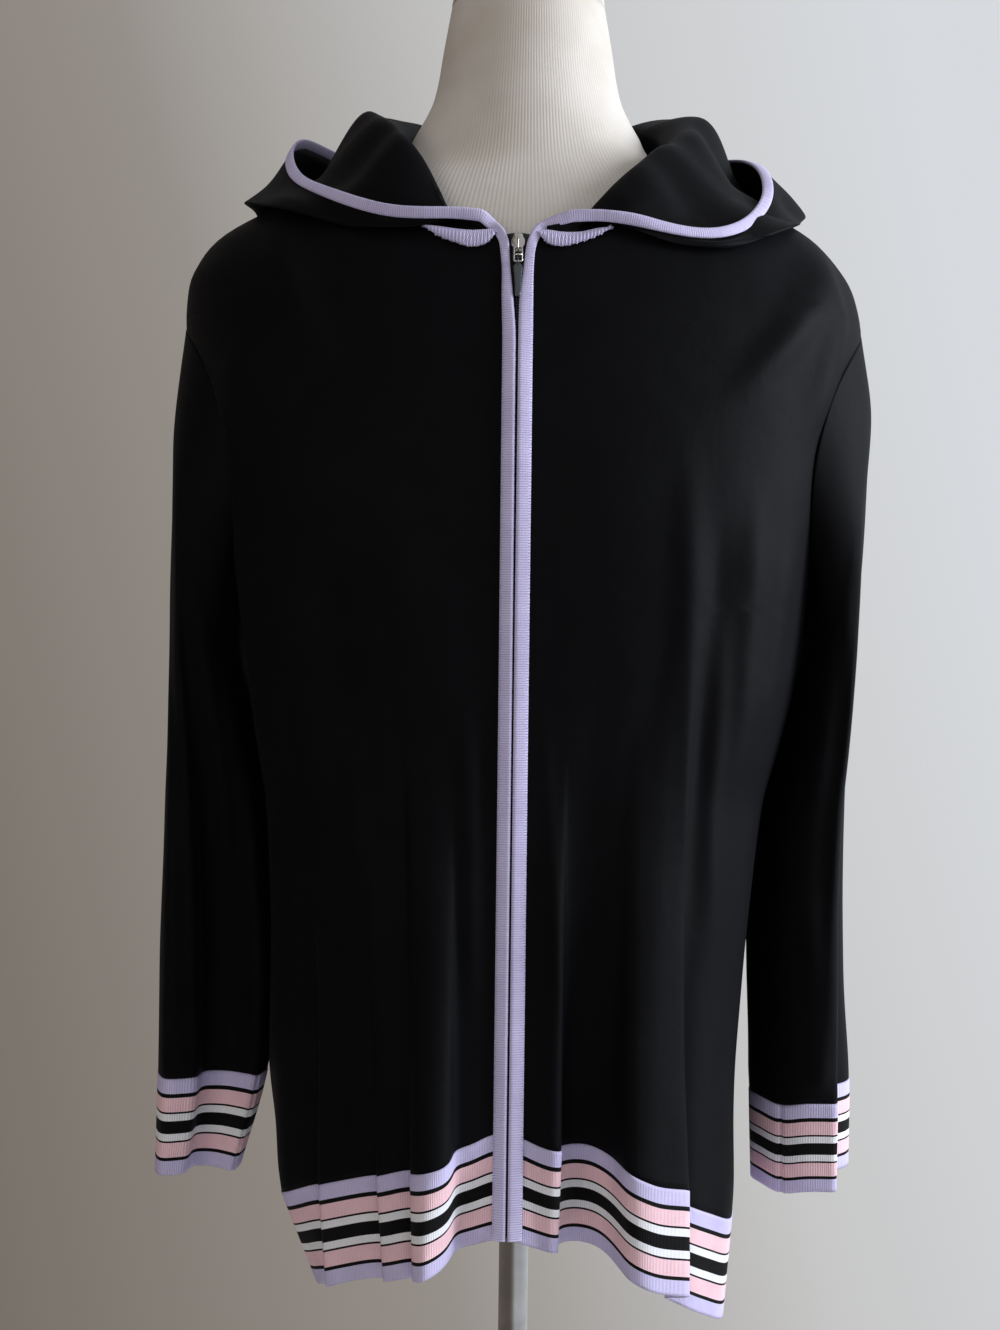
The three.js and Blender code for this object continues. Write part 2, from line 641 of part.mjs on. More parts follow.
function cuffGrid(side) {
  const columns = 2 * armRows;
  const { top, bottom } = cuffSpan[side];
  return steps(2, top, bottom).map((z) =>
    steps(columns - 1, 0, 2 * Math.PI * (1 - 1 / columns)).map((turn) => tubePoint(side, turn, z)),
  );
}

function sleeves() {
  return ["left", "right"].flatMap((side) => {
    const flip = side === "right";
    return [
      clothWallMesh(`sleeve_${side}`, sleeveGrid(side), clothWall, black, { wrap: true, flip }),
      clothWallMesh(`cuff_${side}`, cuffGrid(side), clothWall, stripes, { wrap: true, flip }),
    ];
  });
}

// ---- Hood ----

const hoodRows = 13;
const layerClear = 4.8; // between the hood's inner layer and the body under it
const layerSpread = 12; // how much further out its outer layer lies
const liftOff = 0.35; // the share of the profile after which the knit lies over the body

// Where the hood's columns leave the neckline: the panels' own columns, from beside the band to the back.
function neckline(side) {
  const sign = sideSign[side];
  const own = frontAngles(side, seamLevel).slice(1);
  const front = own.map((angle, j) => {
    const z = neckAt(angle);
    return { angle: Math.abs(frontAngles(side, z)[j + 1]), z: z + neckGap };
  });
  const back = backAngles(seamLevel)
    .map((angle) => ({ angle: 180 - Math.abs(180 - angle), z: neckAt(wrapAngle(angle)) + neckGap }))
    .slice(1, backColumns / 2 + 1);
  return [...front, ...back].map((column) => ({ ...column, sign }));
}

// Points from the neckline to the rim in the plane at one angle, as distance out and height.
function hoodProfile(side, { angle, z, sign }) {
  const keys = [
    [bodyRadius(sign * angle, z), z],
    [hoodAt.edgeR(angle), hoodAt.edgeZ(angle)],
    [hoodAt.crestR(angle), hoodAt.crestZ(angle)],
    [hoodAt.pouchR(angle), hoodAt.pouchZ(angle)],
    [pouchAt[side].bulgeR(angle), pouchAt[side].bulgeZ(angle)],
    [pouchAt[side].rimR(angle), pouchAt[side].rimZ(angle)],
  ];
  const knots = keys.map(([r, y]) => new THREE.Vector3(r, y, 0));
  const curve = new THREE.CatmullRomCurve3(knots, false, "centripetal");
  const lying = THREE.MathUtils.smoothstep(angle, 20, 32);
  return curve.getPoints(hoodRows).map((p, i) => {
    const share = i / hoodRows;
    const spread = layerSpread * THREE.MathUtils.smoothstep(share, 0.62, 0.86);
    const clear = bodyRadius(sign * angle, p.y) + (layerClear + spread) * lying;
    return new THREE.Vector2(share > liftOff ? Math.max(p.x, clear) : p.x, p.y);
  });
}

function planePoint(sign, angle, r, z) {
  const turn = radians(sign * angle);
  return new THREE.Vector3(r * Math.sin(turn), -r * Math.cos(turn), z);
}

function hoodGrid(side) {
  const middle = 180 - degrees(seamGap / 2 / bodyAt.back(neckTable[0].z));
  const profiles = neckline(side).map((column) => {
    const angle = Math.min(column.angle, middle);
    return hoodProfile(side, column).map((p) => planePoint(column.sign, angle, p.x, p.y));
  });
  return profiles[0].map((_, i) => profiles.map((profile) => profile[i]));
}

// The band that binds the rim carries on from the knit's edge, a little more upright than the knit.
function rimColumns(side) {
  return neckline(side).map((column) => {
    const profile = hoodProfile(side, column);
    const rim = profile[hoodRows];
    const away = rim.clone().sub(profile[hoodRows - 1]).normalize();
    const lean = new THREE.Vector2(away.x * 0.8, Math.max(away.y, 0.4)).normalize();
    const start = rim.clone().addScaledVector(away, neckGap);
    start.addScaledVector(new THREE.Vector2(away.y, -away.x), trimWall - clothWall);
    return steps(2, 0, hoodTrimWidth - neckGap).map((along) => {
      const p = start.clone().addScaledVector(lean, along);
      return planePoint(column.sign, column.angle, p.x, p.y);
    });
  });
}

function hood() {
  const meshes = ["left", "right"].map((side) => {
    const form = { flip: side === "right", seamAxis: "x" };
    return clothWallMesh(`hood_${side}`, hoodGrid(side), clothWall, black, form);
  });
  const columns = [...rimColumns("left"), ...rimColumns("right").reverse().slice(1)];
  const grid = columns[0].map((_, i) => columns.map((column) => column[i]));
  meshes.push(clothWallMesh("hood_trim", grid, trimWall, lavender));
  return meshes;
}

// ---- Bands, neck trim and zip ----

function frontPoint(x, z, out) {
  return bodyPoint(frontAngle(x, z), z, out);
}

// A strip that follows a path on the front, given as distance from the zip and height.
function frontStrip(side, path, width, out) {
  const sign = sideSign[side];
  return path.map((p, i) => {
    const before = path[Math.max(i - 1, 0)];
    const after = path[Math.min(i + 1, path.length - 1)];
    const along = new THREE.Vector2(after.out - before.out, after.z - before.z).normalize();
    return [-0.5, 0, 0.5].map((share) => {
      const x = closureX + sign * (p.out + along.y * width * share);
      return frontPoint(x, p.z - along.x * width * share, out);
    });
  });
}

// The heights of the rows of the border and the front panel along the zip.
function zipHeights(side) {
  const first = frontAngles(side, seamLevel)[0];
  const border = steps(2).map((t) => hemAt(first) + borderHeight * t);
  return [...border, ...frontGrid(side).map((row) => row[0].z)];
}

function bands() {
  return ["left", "right"].map((side) => {
    const extra = bandTable.slice(1).map((row) => row.z);
    const heights = [...zipHeights(side), ...extra].filter((z) => z <= 1290).sort((a, b) => a - b);
    const path = [...heights.map((z) => ({ z, out: bandOut(z) })), ...bandTurn];
    const grid = frontStrip(side, path, bandWidth, seamGap + 0.1 + trimWall);
    return clothWallMesh(`front_band_${side}`, grid, trimWall, lavender, { flip: side === "right" });
  });
}

function neckTrims() {
  return ["left", "right"].map((side) => {
    const sign = sideSign[side];
    const grid = steps(2).map((t) =>
      steps(6, neckTrimFrom, neckTrimTo).map((angle) => {
        const z = neckAt(angle) - seamGap - neckTrimWidth * (1 - t);
        return bodyPoint(sign * angle, z, 2 * seamGap + trimWall);
      }),
    );
    return clothWallMesh(`neck_trim_${side}`, grid, trimWall, lavender, { flip: side === "right" });
  });
}

function zipTapes() {
  return ["left", "right"].map((side) => {
    const path = zipHeights(side).map((z) => ({ z, out: seamGap / 2 + tapeWidth / 2 }));
    const grid = frontStrip(side, path, tapeWidth, -tapeDepth);
    return clothWallMesh(`zip_tape_${side}`, grid, tapeWall, black, { flip: side === "right" });
  });
}

function outline(points) {
  return new THREE.Shape(points.map(([x, y]) => new THREE.Vector2(x, y)));
}

function roundedRect(target, left, bottom, right, top, r) {
  target.moveTo(left + r, bottom);
  target.lineTo(right - r, bottom);
  target.absarc(right - r, bottom + r, r, -Math.PI / 2, 0);
  target.lineTo(right, top - r);
  target.absarc(right - r, top - r, r, 0, Math.PI / 2);
  target.lineTo(left + r, top);
  target.absarc(left + r, top - r, r, Math.PI / 2, Math.PI);
  target.lineTo(left, bottom + r);
  target.absarc(left + r, bottom + r, r, Math.PI, 1.5 * Math.PI);
  return target;
}

// A plate drawn across and up the zip, from one distance in front of the tape to another.
function facePlate(shape, near, far) {
  const extrusion = { depth: far - near, bevelEnabled: false, curveSegments: 4 };
  const geometry = new THREE.ExtrudeGeometry(shape, extrusion);
  geometry.rotateX(Math.PI / 2);
  geometry.translate(0, -near, 0);
  return geometry;
}

// A plate drawn in the side view, distance out against height, and thick across the zip.
function sidePlate(shape, thickness) {
  const extrusion = { depth: thickness, bevelEnabled: false, curveSegments: 6 };
  const geometry = new THREE.ExtrudeGeometry(shape, extrusion);
  geometry.translate(0, 0, -thickness / 2);
  const basis = new THREE.Matrix4().makeBasis(
    new THREE.Vector3(0, -1, 0),
    new THREE.Vector3(0, 0, 1),
    new THREE.Vector3(-1, 0, 0),
  );
  geometry.applyMatrix4(basis);
  return geometry;
}

const wasm = await Module();
wasm.setup();

function toSolid(geometry) {
  const bare = geometry.clone();
  bare.deleteAttribute("normal");
  bare.deleteAttribute("uv");
  const merged = mergeVertices(bare, 1e-4);
  return new wasm.Manifold(
    new wasm.Mesh({
      numProp: 3,
      vertProperties: new Float32Array(merged.attributes.position.array),
      triVerts: new Uint32Array(merged.index.array),
    }),
  );
}

function joined(name, geometries, material) {
  const [first, ...others] = geometries.map(toSolid);
  const result = others.reduce((sum, solid) => sum.add(solid), first).getMesh();
  const geometry = new THREE.BufferGeometry();
  geometry.setAttribute("position", new THREE.BufferAttribute(new Float32Array(result.vertProperties), 3));
  geometry.setIndex(Array.from(result.triVerts));
  const mesh = new THREE.Mesh(geometry, material);
  mesh.name = name;
  return mesh;
}

// The slider's own frame lies on the zip tape: x across, z up along the zip, -y out of it.
function zipPull() {
  const plate = outline([
    [-3.2, -6.6], [3.2, -6.6], [4.5, 0], [4.6, 4.4],
    [2.6, 6.8], [-2.6, 6.8], [-4.6, 4.4], [-4.5, 0],
  ]);
  const bail = roundedRect(new THREE.Shape(), 3.4, -4.8, 8.2, 4.8, 1.8);
  bail.holes.push(roundedRect(new THREE.Path(), 4.1, -3.4, 6.9, 2.6, 0.8));
  const slider = joined("zip_slider", [facePlate(plate, 0.3, 4), sidePlate(bail, 2.4)], nickel);

  const near = pullAxisOut - 0.6;
  const far = pullAxisOut + 0.6;
  const link = roundedRect(new THREE.Shape(), -3.4, tabPivot - 0.7, 3.4, linkPivot + 0.7, 1.2);
  link.holes.push(roundedRect(new THREE.Path(), -2.1, linkPivot - 4.9, 2.1, linkPivot - 0.7, 0.6));
  link.holes.push(roundedRect(new THREE.Path(), -2.4, tabPivot + 0.7, 2.4, tabPivot + 4.2, 0.6));
  const linkMesh = joined("zip_pull_link", [facePlate(link, near, far)], nickel);

  const eye = new THREE.Shape();
  eye.absarc(pullAxisOut, tabPivot, 2.1, 0, 2 * Math.PI);
  const bore = new THREE.Path();
  bore.absarc(pullAxisOut, tabPivot, 1.25, 0, 2 * Math.PI);
  eye.holes.push(bore);
  const tab = outline([
    [-1.7, tabPivot - 1.7], [-3.1, tabPivot - 3], [-1.6, -39],
    [1.6, -39], [3.1, tabPivot - 3], [1.7, tabPivot - 1.7],
  ]);
  const tabMesh = joined("zip_pull_tab", [sidePlate(eye, 3.4), facePlate(tab, near, far)], gunmetal);

  const frame = new THREE.Group();
  const seat = frontPoint(closureX, sliderHeight, -tapeDepth);
  const lower = frontPoint(closureX, sliderHeight - 10, -tapeDepth);
  frame.position.copy(seat);
  frame.rotation.x = -Math.atan2(seat.y - lower.y, seat.z - lower.z);
  frame.add(slider, linkMesh, tabMesh);
  return frame;
}

const group = new THREE.Group();
group.add(dressForm(), neckCap(), ...stand());
group.add(...body(), ...sleeves(), ...hood());
group.add(...bands(), ...neckTrims(), ...zipTapes(), zipPull());

export default group;
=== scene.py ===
import math
from functools import partial

import bmesh
import bpy
import numpy as np
from mathutils import Euler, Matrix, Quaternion, Vector


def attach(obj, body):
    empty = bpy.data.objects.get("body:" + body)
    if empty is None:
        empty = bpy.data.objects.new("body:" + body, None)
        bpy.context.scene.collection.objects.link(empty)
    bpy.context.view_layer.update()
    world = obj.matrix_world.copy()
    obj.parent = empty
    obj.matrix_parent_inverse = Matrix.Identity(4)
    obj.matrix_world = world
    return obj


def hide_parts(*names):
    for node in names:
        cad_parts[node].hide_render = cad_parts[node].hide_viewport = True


# A hooded zip cardigan of fine knit on a dress form. Tables are in millimetres, meshes in metres.
# The wearer's left is +X and the form faces -Y. Angles run round the body from the front.
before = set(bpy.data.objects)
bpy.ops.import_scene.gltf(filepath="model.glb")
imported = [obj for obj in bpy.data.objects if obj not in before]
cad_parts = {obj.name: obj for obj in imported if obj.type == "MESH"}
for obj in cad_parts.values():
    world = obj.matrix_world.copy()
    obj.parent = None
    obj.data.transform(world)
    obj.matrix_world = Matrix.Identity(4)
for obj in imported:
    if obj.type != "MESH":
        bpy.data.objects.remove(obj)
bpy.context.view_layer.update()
print("frame loaded")


def smoothCurve(keys, values):
    keys, values = np.asarray(keys, float), np.asarray(values, float)
    index = np.arange(len(keys))
    low, high = np.maximum(index - 1, 0), np.minimum(index + 1, len(keys) - 1)
    slope = (values[high] - values[low]) / (keys[high] - keys[low])

    def at(x):
        x = np.clip(x, keys[0], keys[-1])
        i = np.clip(np.searchsorted(keys, x, side="right") - 1, 0, len(keys) - 2)
        span = keys[i + 1] - keys[i]
        t = (x - keys[i]) / span
        rise = (values[i + 1] - values[i]) * t * t * (3 - 2 * t)
        return values[i] + rise + span * t * (1 - t) * (slope[i] * (1 - t) - slope[i + 1] * t)

    return at


def tableCurves(rows):
    # One curve for each column of a table, read at the values in its first.
    rows = np.asarray(rows, float)
    return [smoothCurve(rows[:, 0], rows[:, k]) for k in range(1, rows.shape[1])]


def smoothStep(low, high, x):
    t = np.clip((x - low) / (high - low), 0, 1)
    return t * t * (3 - 2 * t)


def bell(x, middle, width):
    return np.exp(-((x - middle) / width) ** 2)


def unit(v):
    return v / np.maximum(np.linalg.norm(v, axis=-1, keepdims=True), 1e-9)


def together(*parts):
    return np.stack(np.broadcast_arrays(*parts), -1)


def fullTurn(count):
    return np.linspace(0, 2 * np.pi, count, endpoint=False)


def newObject(name, data):
    obj = bpy.data.objects.new(name, data)
    bpy.context.scene.collection.objects.link(obj)
    return obj


def gridMesh(name, grid, uv=None, wrap=False, flip=False):
    rows, columns = grid.shape[:2]
    faces, corners = [], []
    for i in range(rows - 1):
        for j in range(columns if wrap else columns - 1):
            k = (j + 1) % columns
            spot = [(i, j), (i, k), (i + 1, k), (i + 1, j)]
            if flip:
                spot.reverse()
            faces.append([row * columns + column for row, column in spot])
            corners.extend(spot)
    mesh = bpy.data.meshes.new(name)
    mesh.from_pydata((grid.reshape(-1, 3) * 0.001).tolist(), [], faces)
    if uv is not None:
        layer = mesh.uv_layers.new(name="cloth")
        spots = np.array(corners)
        layer.data.foreach_set("uv", uv[spots[:, 0], spots[:, 1]].astype(np.float32).ravel())
    mesh.shade_smooth()
    return newObject(name, mesh)


def mend(obj, ends=None, merge=0.0):
    # Merges doubled points or closes a tube's two ends, then turns every face outwards.
    work = bmesh.new()
    work.from_mesh(obj.data)
    if merge:
        bmesh.ops.remove_doubles(work, verts=work.verts, dist=merge)
    if ends:
        rows, ring = ends
        work.verts.ensure_lookup_table()
        for row in (0, rows - 1):
            work.faces.new([work.verts[row * ring + j] for j in range(ring)])
    bmesh.ops.recalc_face_normals(work, faces=work.faces)
    work.to_mesh(obj.data)
    work.free()
    obj.data.shade_smooth()


def throughPoints(keys, count):
    # A smooth curve through key points that doesn't swing out at close ones.
    keys = np.asarray(keys, float)
    ends = np.concatenate([[2 * keys[0] - keys[1]], keys, [2 * keys[-1] - keys[-2]]])
    share = np.linspace(0, len(keys) - 1, count)
    i = np.minimum(share.astype(int), len(keys) - 2)
    t = (share - i).reshape((-1,) + (1,) * (keys.ndim - 1))
    a, b, c, d = ends[i], ends[i + 1], ends[i + 2], ends[i + 3]
    near, step, far = [np.sqrt(np.maximum(np.linalg.norm(q - p, axis=-1, keepdims=True), 1e-4))
                       for p, q in ((a, b), (b, c), (c, d))]
    start = step * ((b - a) / near - (c - a) / (near + step) + (c - b) / step)
    end = step * ((c - b) / step - (d - b) / (step + far) + (d - c) / far)
    return b + t * (start + t * ((3 * (c - b) - 2 * start - end) + t * (2 * (b - c) + start + end)))


def softened(points, passes):
    for _ in range(passes):
        points[1:-1] = 0.25 * points[:-2] + 0.5 * points[1:-1] + 0.25 * points[2:]
    return points


def evenly(points, spacing, softness):
    # The same curve with even steps, its corners rounded a little.
    length = np.concatenate([[0], np.cumsum(np.linalg.norm(np.diff(points[:, :3], axis=0), axis=1))])
    along = np.linspace(0, length[-1], max(int(length[-1] / spacing), 8) + 1)
    even = np.stack([np.interp(along, length, points[:, k]) for k in range(points.shape[1])], 1)
    return softened(even, softness), along


def finishWall(obj, wall, material, offset=-1):
    obj.data.materials.append(material)
    solid = obj.modifiers.new("wall", "SOLIDIFY")
    solid.thickness = wall * 0.001
    solid.offset = offset
    solid.use_even_offset = False
    solid.use_quality_normals = True
    return obj


def newMaterial(name):
    material = bpy.data.materials.new(name)
    material.use_nodes = True
    return material, material.node_tree, material.node_tree.nodes["Principled BSDF"]


def feed(tree, node, inputs):
    # Sets each input to a value or links it to another node's output.
    for label, value in inputs.items():
        if isinstance(value, bpy.types.NodeSocket):
            tree.links.new(value, node.inputs[label])
        else:
            node.inputs[label].default_value = value
    return node.outputs


def addNode(tree, kind, inputs=None, **settings):
    node = tree.nodes.new(kind)
    for label, value in settings.items():
        setattr(node, label, value)
    return feed(tree, node, inputs or {})


def mathNode(tree, operation, *parts):
    return addNode(tree, "ShaderNodeMath", dict(enumerate(parts)), operation=operation)[0]


def clothUv(tree):
    uv = addNode(tree, "ShaderNodeUVMap", uv_map="cloth")["UV"]
    parts = addNode(tree, "ShaderNodeSeparateXYZ", {0: uv})
    return parts["X"], parts["Y"]


def noiseAt(tree, scale, detail=3.0):
    place = addNode(tree, "ShaderNodeTexCoord")["Object"]
    values = {"Vector": place, "Scale": scale, "Detail": detail, "Roughness": 0.55}
    return addNode(tree, "ShaderNodeTexNoise", values)["Fac"]


def spanOf(tree, value, span):
    return addNode(tree, "ShaderNodeMapRange", {"Value": value, **span})["Result"]


def knitHeight(tree, u, v, wale, course):
    # Rows of little V stitches: two slanted legs in each wale.
    m = partial(mathNode, tree)
    leg = m("ABSOLUTE", m("SUBTRACT", m("FRACT", m("DIVIDE", u, wale)), 0.5))
    row = m("FRACT", m("SUBTRACT", m("DIVIDE", v, course), m("MULTIPLY", leg, 1.5)))
    across = m("SINE", m("MULTIPLY", leg, 2 * math.pi))
    up = m("SINE", m("MULTIPLY", row, math.pi))
    return m("MULTIPLY", m("POWER", m("MAXIMUM", across, 0.0), 0.6), m("ADD", m("MULTIPLY", up, 0.55), 0.45))


def ribHeight(tree, along, pitch):
    m = partial(mathNode, tree)
    return m("POWER", m("ABSOLUTE", m("SINE", m("MULTIPLY", along, math.pi / pitch))), 0.7)


def bumpFrom(tree, height, distance, strength, under=None):
    values = {"Strength": strength, "Distance": distance, "Height": height}
    if under is not None:
        values["Normal"] = under
    return addNode(tree, "ShaderNodeBump", values)["Normal"]


def rampOf(tree, factor, stops, constant=False):
    ramp = tree.nodes.new("ShaderNodeValToRGB")
    ramp.color_ramp.interpolation = "CONSTANT" if constant else "LINEAR"
    elements = ramp.color_ramp.elements
    while len(elements) < len(stops):
        elements.new(0.5)
    for element, (place, colour) in zip(elements, stops):
        element.position = place
        element.color = (*colour, 1)
    return feed(tree, ramp, {"Fac": factor})["Color"]


def multiplied(tree, first, second):
    values = {"Factor": 1.0, "A": first, "B": second}
    return addNode(tree, "ShaderNodeMix", values, data_type="RGBA", blend_type="MULTIPLY")["Result"]


def mottled(tree, toneAndGrooveShade, cloud, low):
    # A tone made a little uneven over the cloth.
    return multiplied(tree, toneAndGrooveShade, rampOf(tree, cloud, [(0.3, low), (0.7, (1.0, 1.0, 1.0))]))


knitLook = {
    "wale": 0.0011, "course": 0.0008,  # a stitch's width and height
    "deep": (0.0013, 0.0013, 0.0018), "high": (0.0023, 0.0024, 0.0033),  # painted shade between stitches, and the yarn on them
}


def blackKnit():
    material, tree, shader = newMaterial("black fine knit")
    stitches = knitHeight(tree, *clothUv(tree), knitLook["wale"], knitLook["course"])
    cloud = noiseAt(tree, 26.0)
    # The stitch ramp darkens the yarn between stitches: painted shade.
    yarnAndStitchShade = rampOf(tree, stitches, [(0.0, knitLook["deep"]), (0.75, knitLook["high"])])
    fuzz = noiseAt(tree, 900.0, 2.0)
    feed(tree, shader, {
        "Base Color": mottled(tree, yarnAndStitchShade, cloud, (0.75, 0.74, 0.76)),
        "Roughness": spanOf(tree, fuzz, {"To Min": 0.5, "To Max": 0.66}),
        "Specular IOR Level": 0.047,
        "Sheen Weight": 0.015, "Sheen Roughness": 0.4, "Sheen Tint": (0.8, 0.84, 1.0, 1),
        "Normal": bumpFrom(tree, stitches, 0.00018, 0.4, bumpFrom(tree, cloud, 0.004, 0.25)),
    })
    return material


lavender = (0.55, 0.51, 0.74)
pink = (0.82, 0.55, 0.60)
white = (0.78, 0.79, 0.82)
dark = (0.0024, 0.0023, 0.0028)
stripeWidths = [(lavender, 10.8), (dark, 3.0), (pink, 10.8), (dark, 1.4), (white, 5.4), (dark, 9.5),
                (white, 5.5), (dark, 1.4), (pink, 10.8), (dark, 2.7), (lavender, 10.7)]
borderHeight = 72  # of the striped borders, which the stripe widths fill from the top
# Ribbed knits: the pitch of the ribs and of the rows across them, the colour from groove to crest with
# painted shade in the grooves, the size and depth of the unevenness, the gloss, and the relief's height and
# strength.
ribLooks = {
    "striped ribbed knit": {
        "rib": 0.00125, "row": 0.0009, "rowShare": 0.25,
        "toneAndGrooveShade": [(0.0, (0.62, 0.60, 0.63)), (0.65, (1.0, 1.0, 1.0))], "cloud": 40.0, "low": (0.9, 0.89, 0.91),
        "gloss": {"Roughness": 0.82, "Specular IOR Level": 0.1, "Sheen Weight": 0.02, "Sheen Roughness": 0.5},
        "relief": (0.0004, 0.8),
    },
    "lavender ribbed trim": {
        "rib": 0.0016, "row": 0.0008, "rowShare": 0.3,
        "toneAndGrooveShade": [(0.0, (0.25, 0.235, 0.36)), (0.7, lavender)], "cloud": 55.0, "low": (0.88, 0.87, 0.9),
        "gloss": {"Roughness": 0.85, "Specular IOR Level": 0.3, "Sheen Weight": 0.12},
        "relief": (0.0003, 0.6),
    },
    "cream ribbed form cover": {
        "rib": 0.0019, "row": 0.0013, "rowShare": 0.2,
        "toneAndGrooveShade": [(0.0, (0.53, 0.495, 0.46)), (0.8, (0.61, 0.575, 0.54))],
        "cloud": 18.0, "low": (0.86, 0.84, 0.8),
        "gloss": {"Roughness": 0.9, "Specular IOR Level": 0.25, "Sheen Weight": 0.15},
        "relief": (0.0002, 0.3),
    },
}


def ribbedKnit(name, stripes=None):
    look = ribLooks[name]
    material, tree, shader = newMaterial(name)
    u, v = clothUv(tree)
    ribs, rows = ribHeight(tree, u, look["rib"]), ribHeight(tree, v, look["row"])
    # The rib ramp darkens each groove: painted shade; the crest keeps the yarn's colour.
    toneAndGrooveShade = rampOf(tree, ribs, look["toneAndGrooveShade"])
    if stripes:
        share = mathNode(tree, "DIVIDE", v, borderHeight * 0.001)
        starts = np.cumsum([0] + [width for _, width in stripes[:-1]]) / borderHeight
        stops = [(start, colour) for start, (colour, _) in zip(starts, stripes)]
        toneAndGrooveShade = multiplied(tree, rampOf(tree, share, stops, True), toneAndGrooveShade)
    height = mathNode(tree, "MULTIPLY_ADD", rows, look["rowShare"], ribs)
    feed(tree, shader, {
        "Base Color": mottled(tree, toneAndGrooveShade, noiseAt(tree, look["cloud"]), look["low"]),
        "Normal": bumpFrom(tree, height, *look["relief"]), **look["gloss"],
    })
    return material


def wovenTape():
    material, tree, shader = newMaterial("black woven zip tape")
    weave = mathNode(tree, "MULTIPLY", *(ribHeight(tree, way, 0.0006) for way in clothUv(tree)))
    # The weave ramp darkens the hollows between threads: painted shade.
    threadAndWeaveShade = rampOf(tree, weave, [(0.0, (0.004, 0.004, 0.005)), (1.0, (0.014, 0.014, 0.016))])
    relief = bumpFrom(tree, weave, 0.0002, 0.8)
    feed(tree, shader, {"Base Color": threadAndWeaveShade, "Roughness": 0.75, "Normal": relief})
    return material


def metalFinish(name, colour, roughness, scratch, metallic=1.0):
    material, tree, shader = newMaterial(name)
    grain = noiseAt(tree, 700.0, 4.0)
    duller = tuple(c * 0.82 for c in colour)
    feed(tree, shader, {
        "Roughness": spanOf(tree, grain, {"To Min": roughness * 0.7, "To Max": roughness * 1.5}),
        "Base Color": rampOf(tree, noiseAt(tree, 60.0), [(0.3, duller), (0.7, colour)]),
        "Metallic": metallic, "Normal": bumpFrom(tree, grain, 0.00005, scratch),
    })
    return material


knit = blackKnit()
borderKnit = ribbedKnit("striped ribbed knit", stripeWidths)
trimKnit = ribbedKnit("lavender ribbed trim")
formCover = ribbedKnit("cream ribbed form cover")
tapeWeave = wovenTape()
chrome = metalFinish("polished chrome", (0.62, 0.62, 0.63), 0.09, 0.05)
nickel = metalFinish("worn nickel", (0.58, 0.56, 0.53), 0.22, 0.3)
gunmetal = metalFinish("dark polished metal", (0.10, 0.11, 0.12), 0.22, 0.2, 0.85)
print("materials made")

bodyTable = [  # height, half width on the wearer's left and right, depth in front and behind, squareness
    (540, 148, 152, 150, 128, 2.7), (625, 156, 176, 150, 126, 2.7), (694, 158, 181, 149, 124, 2.7),
    (742, 160, 182, 148, 123, 2.7), (790, 164, 182, 147, 122, 2.7), (835, 169, 182, 147, 122, 2.7),
    (912, 179, 187, 147, 121, 2.7), (952, 190, 194, 148, 121, 2.7), (990, 199, 200, 150, 121, 2.7),
    (1034, 206, 206, 153, 122, 2.7), (1095, 213, 214, 158, 126, 2.7), (1150, 224, 226, 160, 129, 2.6),
    (1200, 237, 239, 156, 130, 2.5), (1250, 249, 251, 145, 127, 2.4), (1280, 246, 252, 135, 121, 2.3),
    (1300, 238, 248, 128, 115, 2.2), (1325, 217, 230, 116, 106, 2.1), (1350, 178, 186, 103, 97, 2.0),
    (1372, 138, 140, 94, 88, 2.0), (1388, 112, 112, 88, 82, 2.0),
]
neckTable = [
    (0, 1303), (10, 1304), (18, 1305), (24, 1308), (31, 1317), (40, 1336), (50, 1356), (60, 1369), (75, 1380),
    (90, 1385), (180, 1387),
]
backHemTable = [(-180, 648), (-135, 640), (-90, 631), (90, 634), (135, 638), (180, 648)]
bandTable = [(560, 5.6), (1225, 5.6), (1257, 6.6), (1277, 8.9), (1290, 9.8)]
bodyLeft, bodyRight, bodyFront, bodyBack, bodySquare = tableCurves(bodyTable)
neckHeight, = tableCurves(neckTable)
backHem, = tableCurves(backHemTable)
bandOut, = tableCurves(bandTable)

cardigan = {
    "clothWall": 1.2,
    "borderWall": 1.9,
    "borderDrop": 0.3,  # the seam between a border and the knit above it
    "closureX": -5,
    "besideBand": 9.5,  # from the band's edge to where the knit beside it lies free
    "underBand": 3.4,
    "armholeMiddle": 1156,
    "armholeHalf": 106,
    "armholeReach": 24,
}
density = {  # how finely each cloth is divided
    "hemStep": 2.7, "panelRows": (84, 50, 27), "backColumns": 164, "frontBorderRows": 31,
    "backBorderRows": 25, "sleeveTurns": 120, "sleeveRows": 140, "cuffTurns": 240, "cuffRows": 26,
    "hoodRows": 74, "hoodColumns": (24, 150), "leafRows": 19, "leafColumns": 221, "tapeRows": 330,
}
uvRadius = {"body": 0.14, "sleeve": 0.055, "cuff": 0.03, "hood": 0.16}  # metres of cloth to a radian
closureX = cardigan["closureX"]
middleZ, halfHole = cardigan["armholeMiddle"], cardigan["armholeHalf"]
sideSign = {"left": 1, "right": -1}


def neckAt(angle):
    return neckHeight(np.abs(angle))


def bodyPoint(angle, z, out=0.0):
    angle, z = np.broadcast_arrays(np.asarray(angle, float), np.asarray(z, float))
    sine, cosine = np.sin(np.radians(angle)), np.cos(np.radians(angle))
    half = np.where(sine >= 0, bodyLeft(z), bodyRight(z))
    deep = np.where(cosine >= 0, bodyFront(z), bodyBack(z))
    n = bodySquare(z)
    across, along = np.abs(sine) / half, np.abs(cosine) / deep
    r = (across ** n + along ** n) ** (-1 / n)
    nx = np.sign(sine) * across ** (n - 1) / half
    ny = -np.sign(cosine) * along ** (n - 1) / deep
    length = np.hypot(nx, ny)
    return together(r * sine + nx / length * out, -r * cosine + ny / length * out, z)


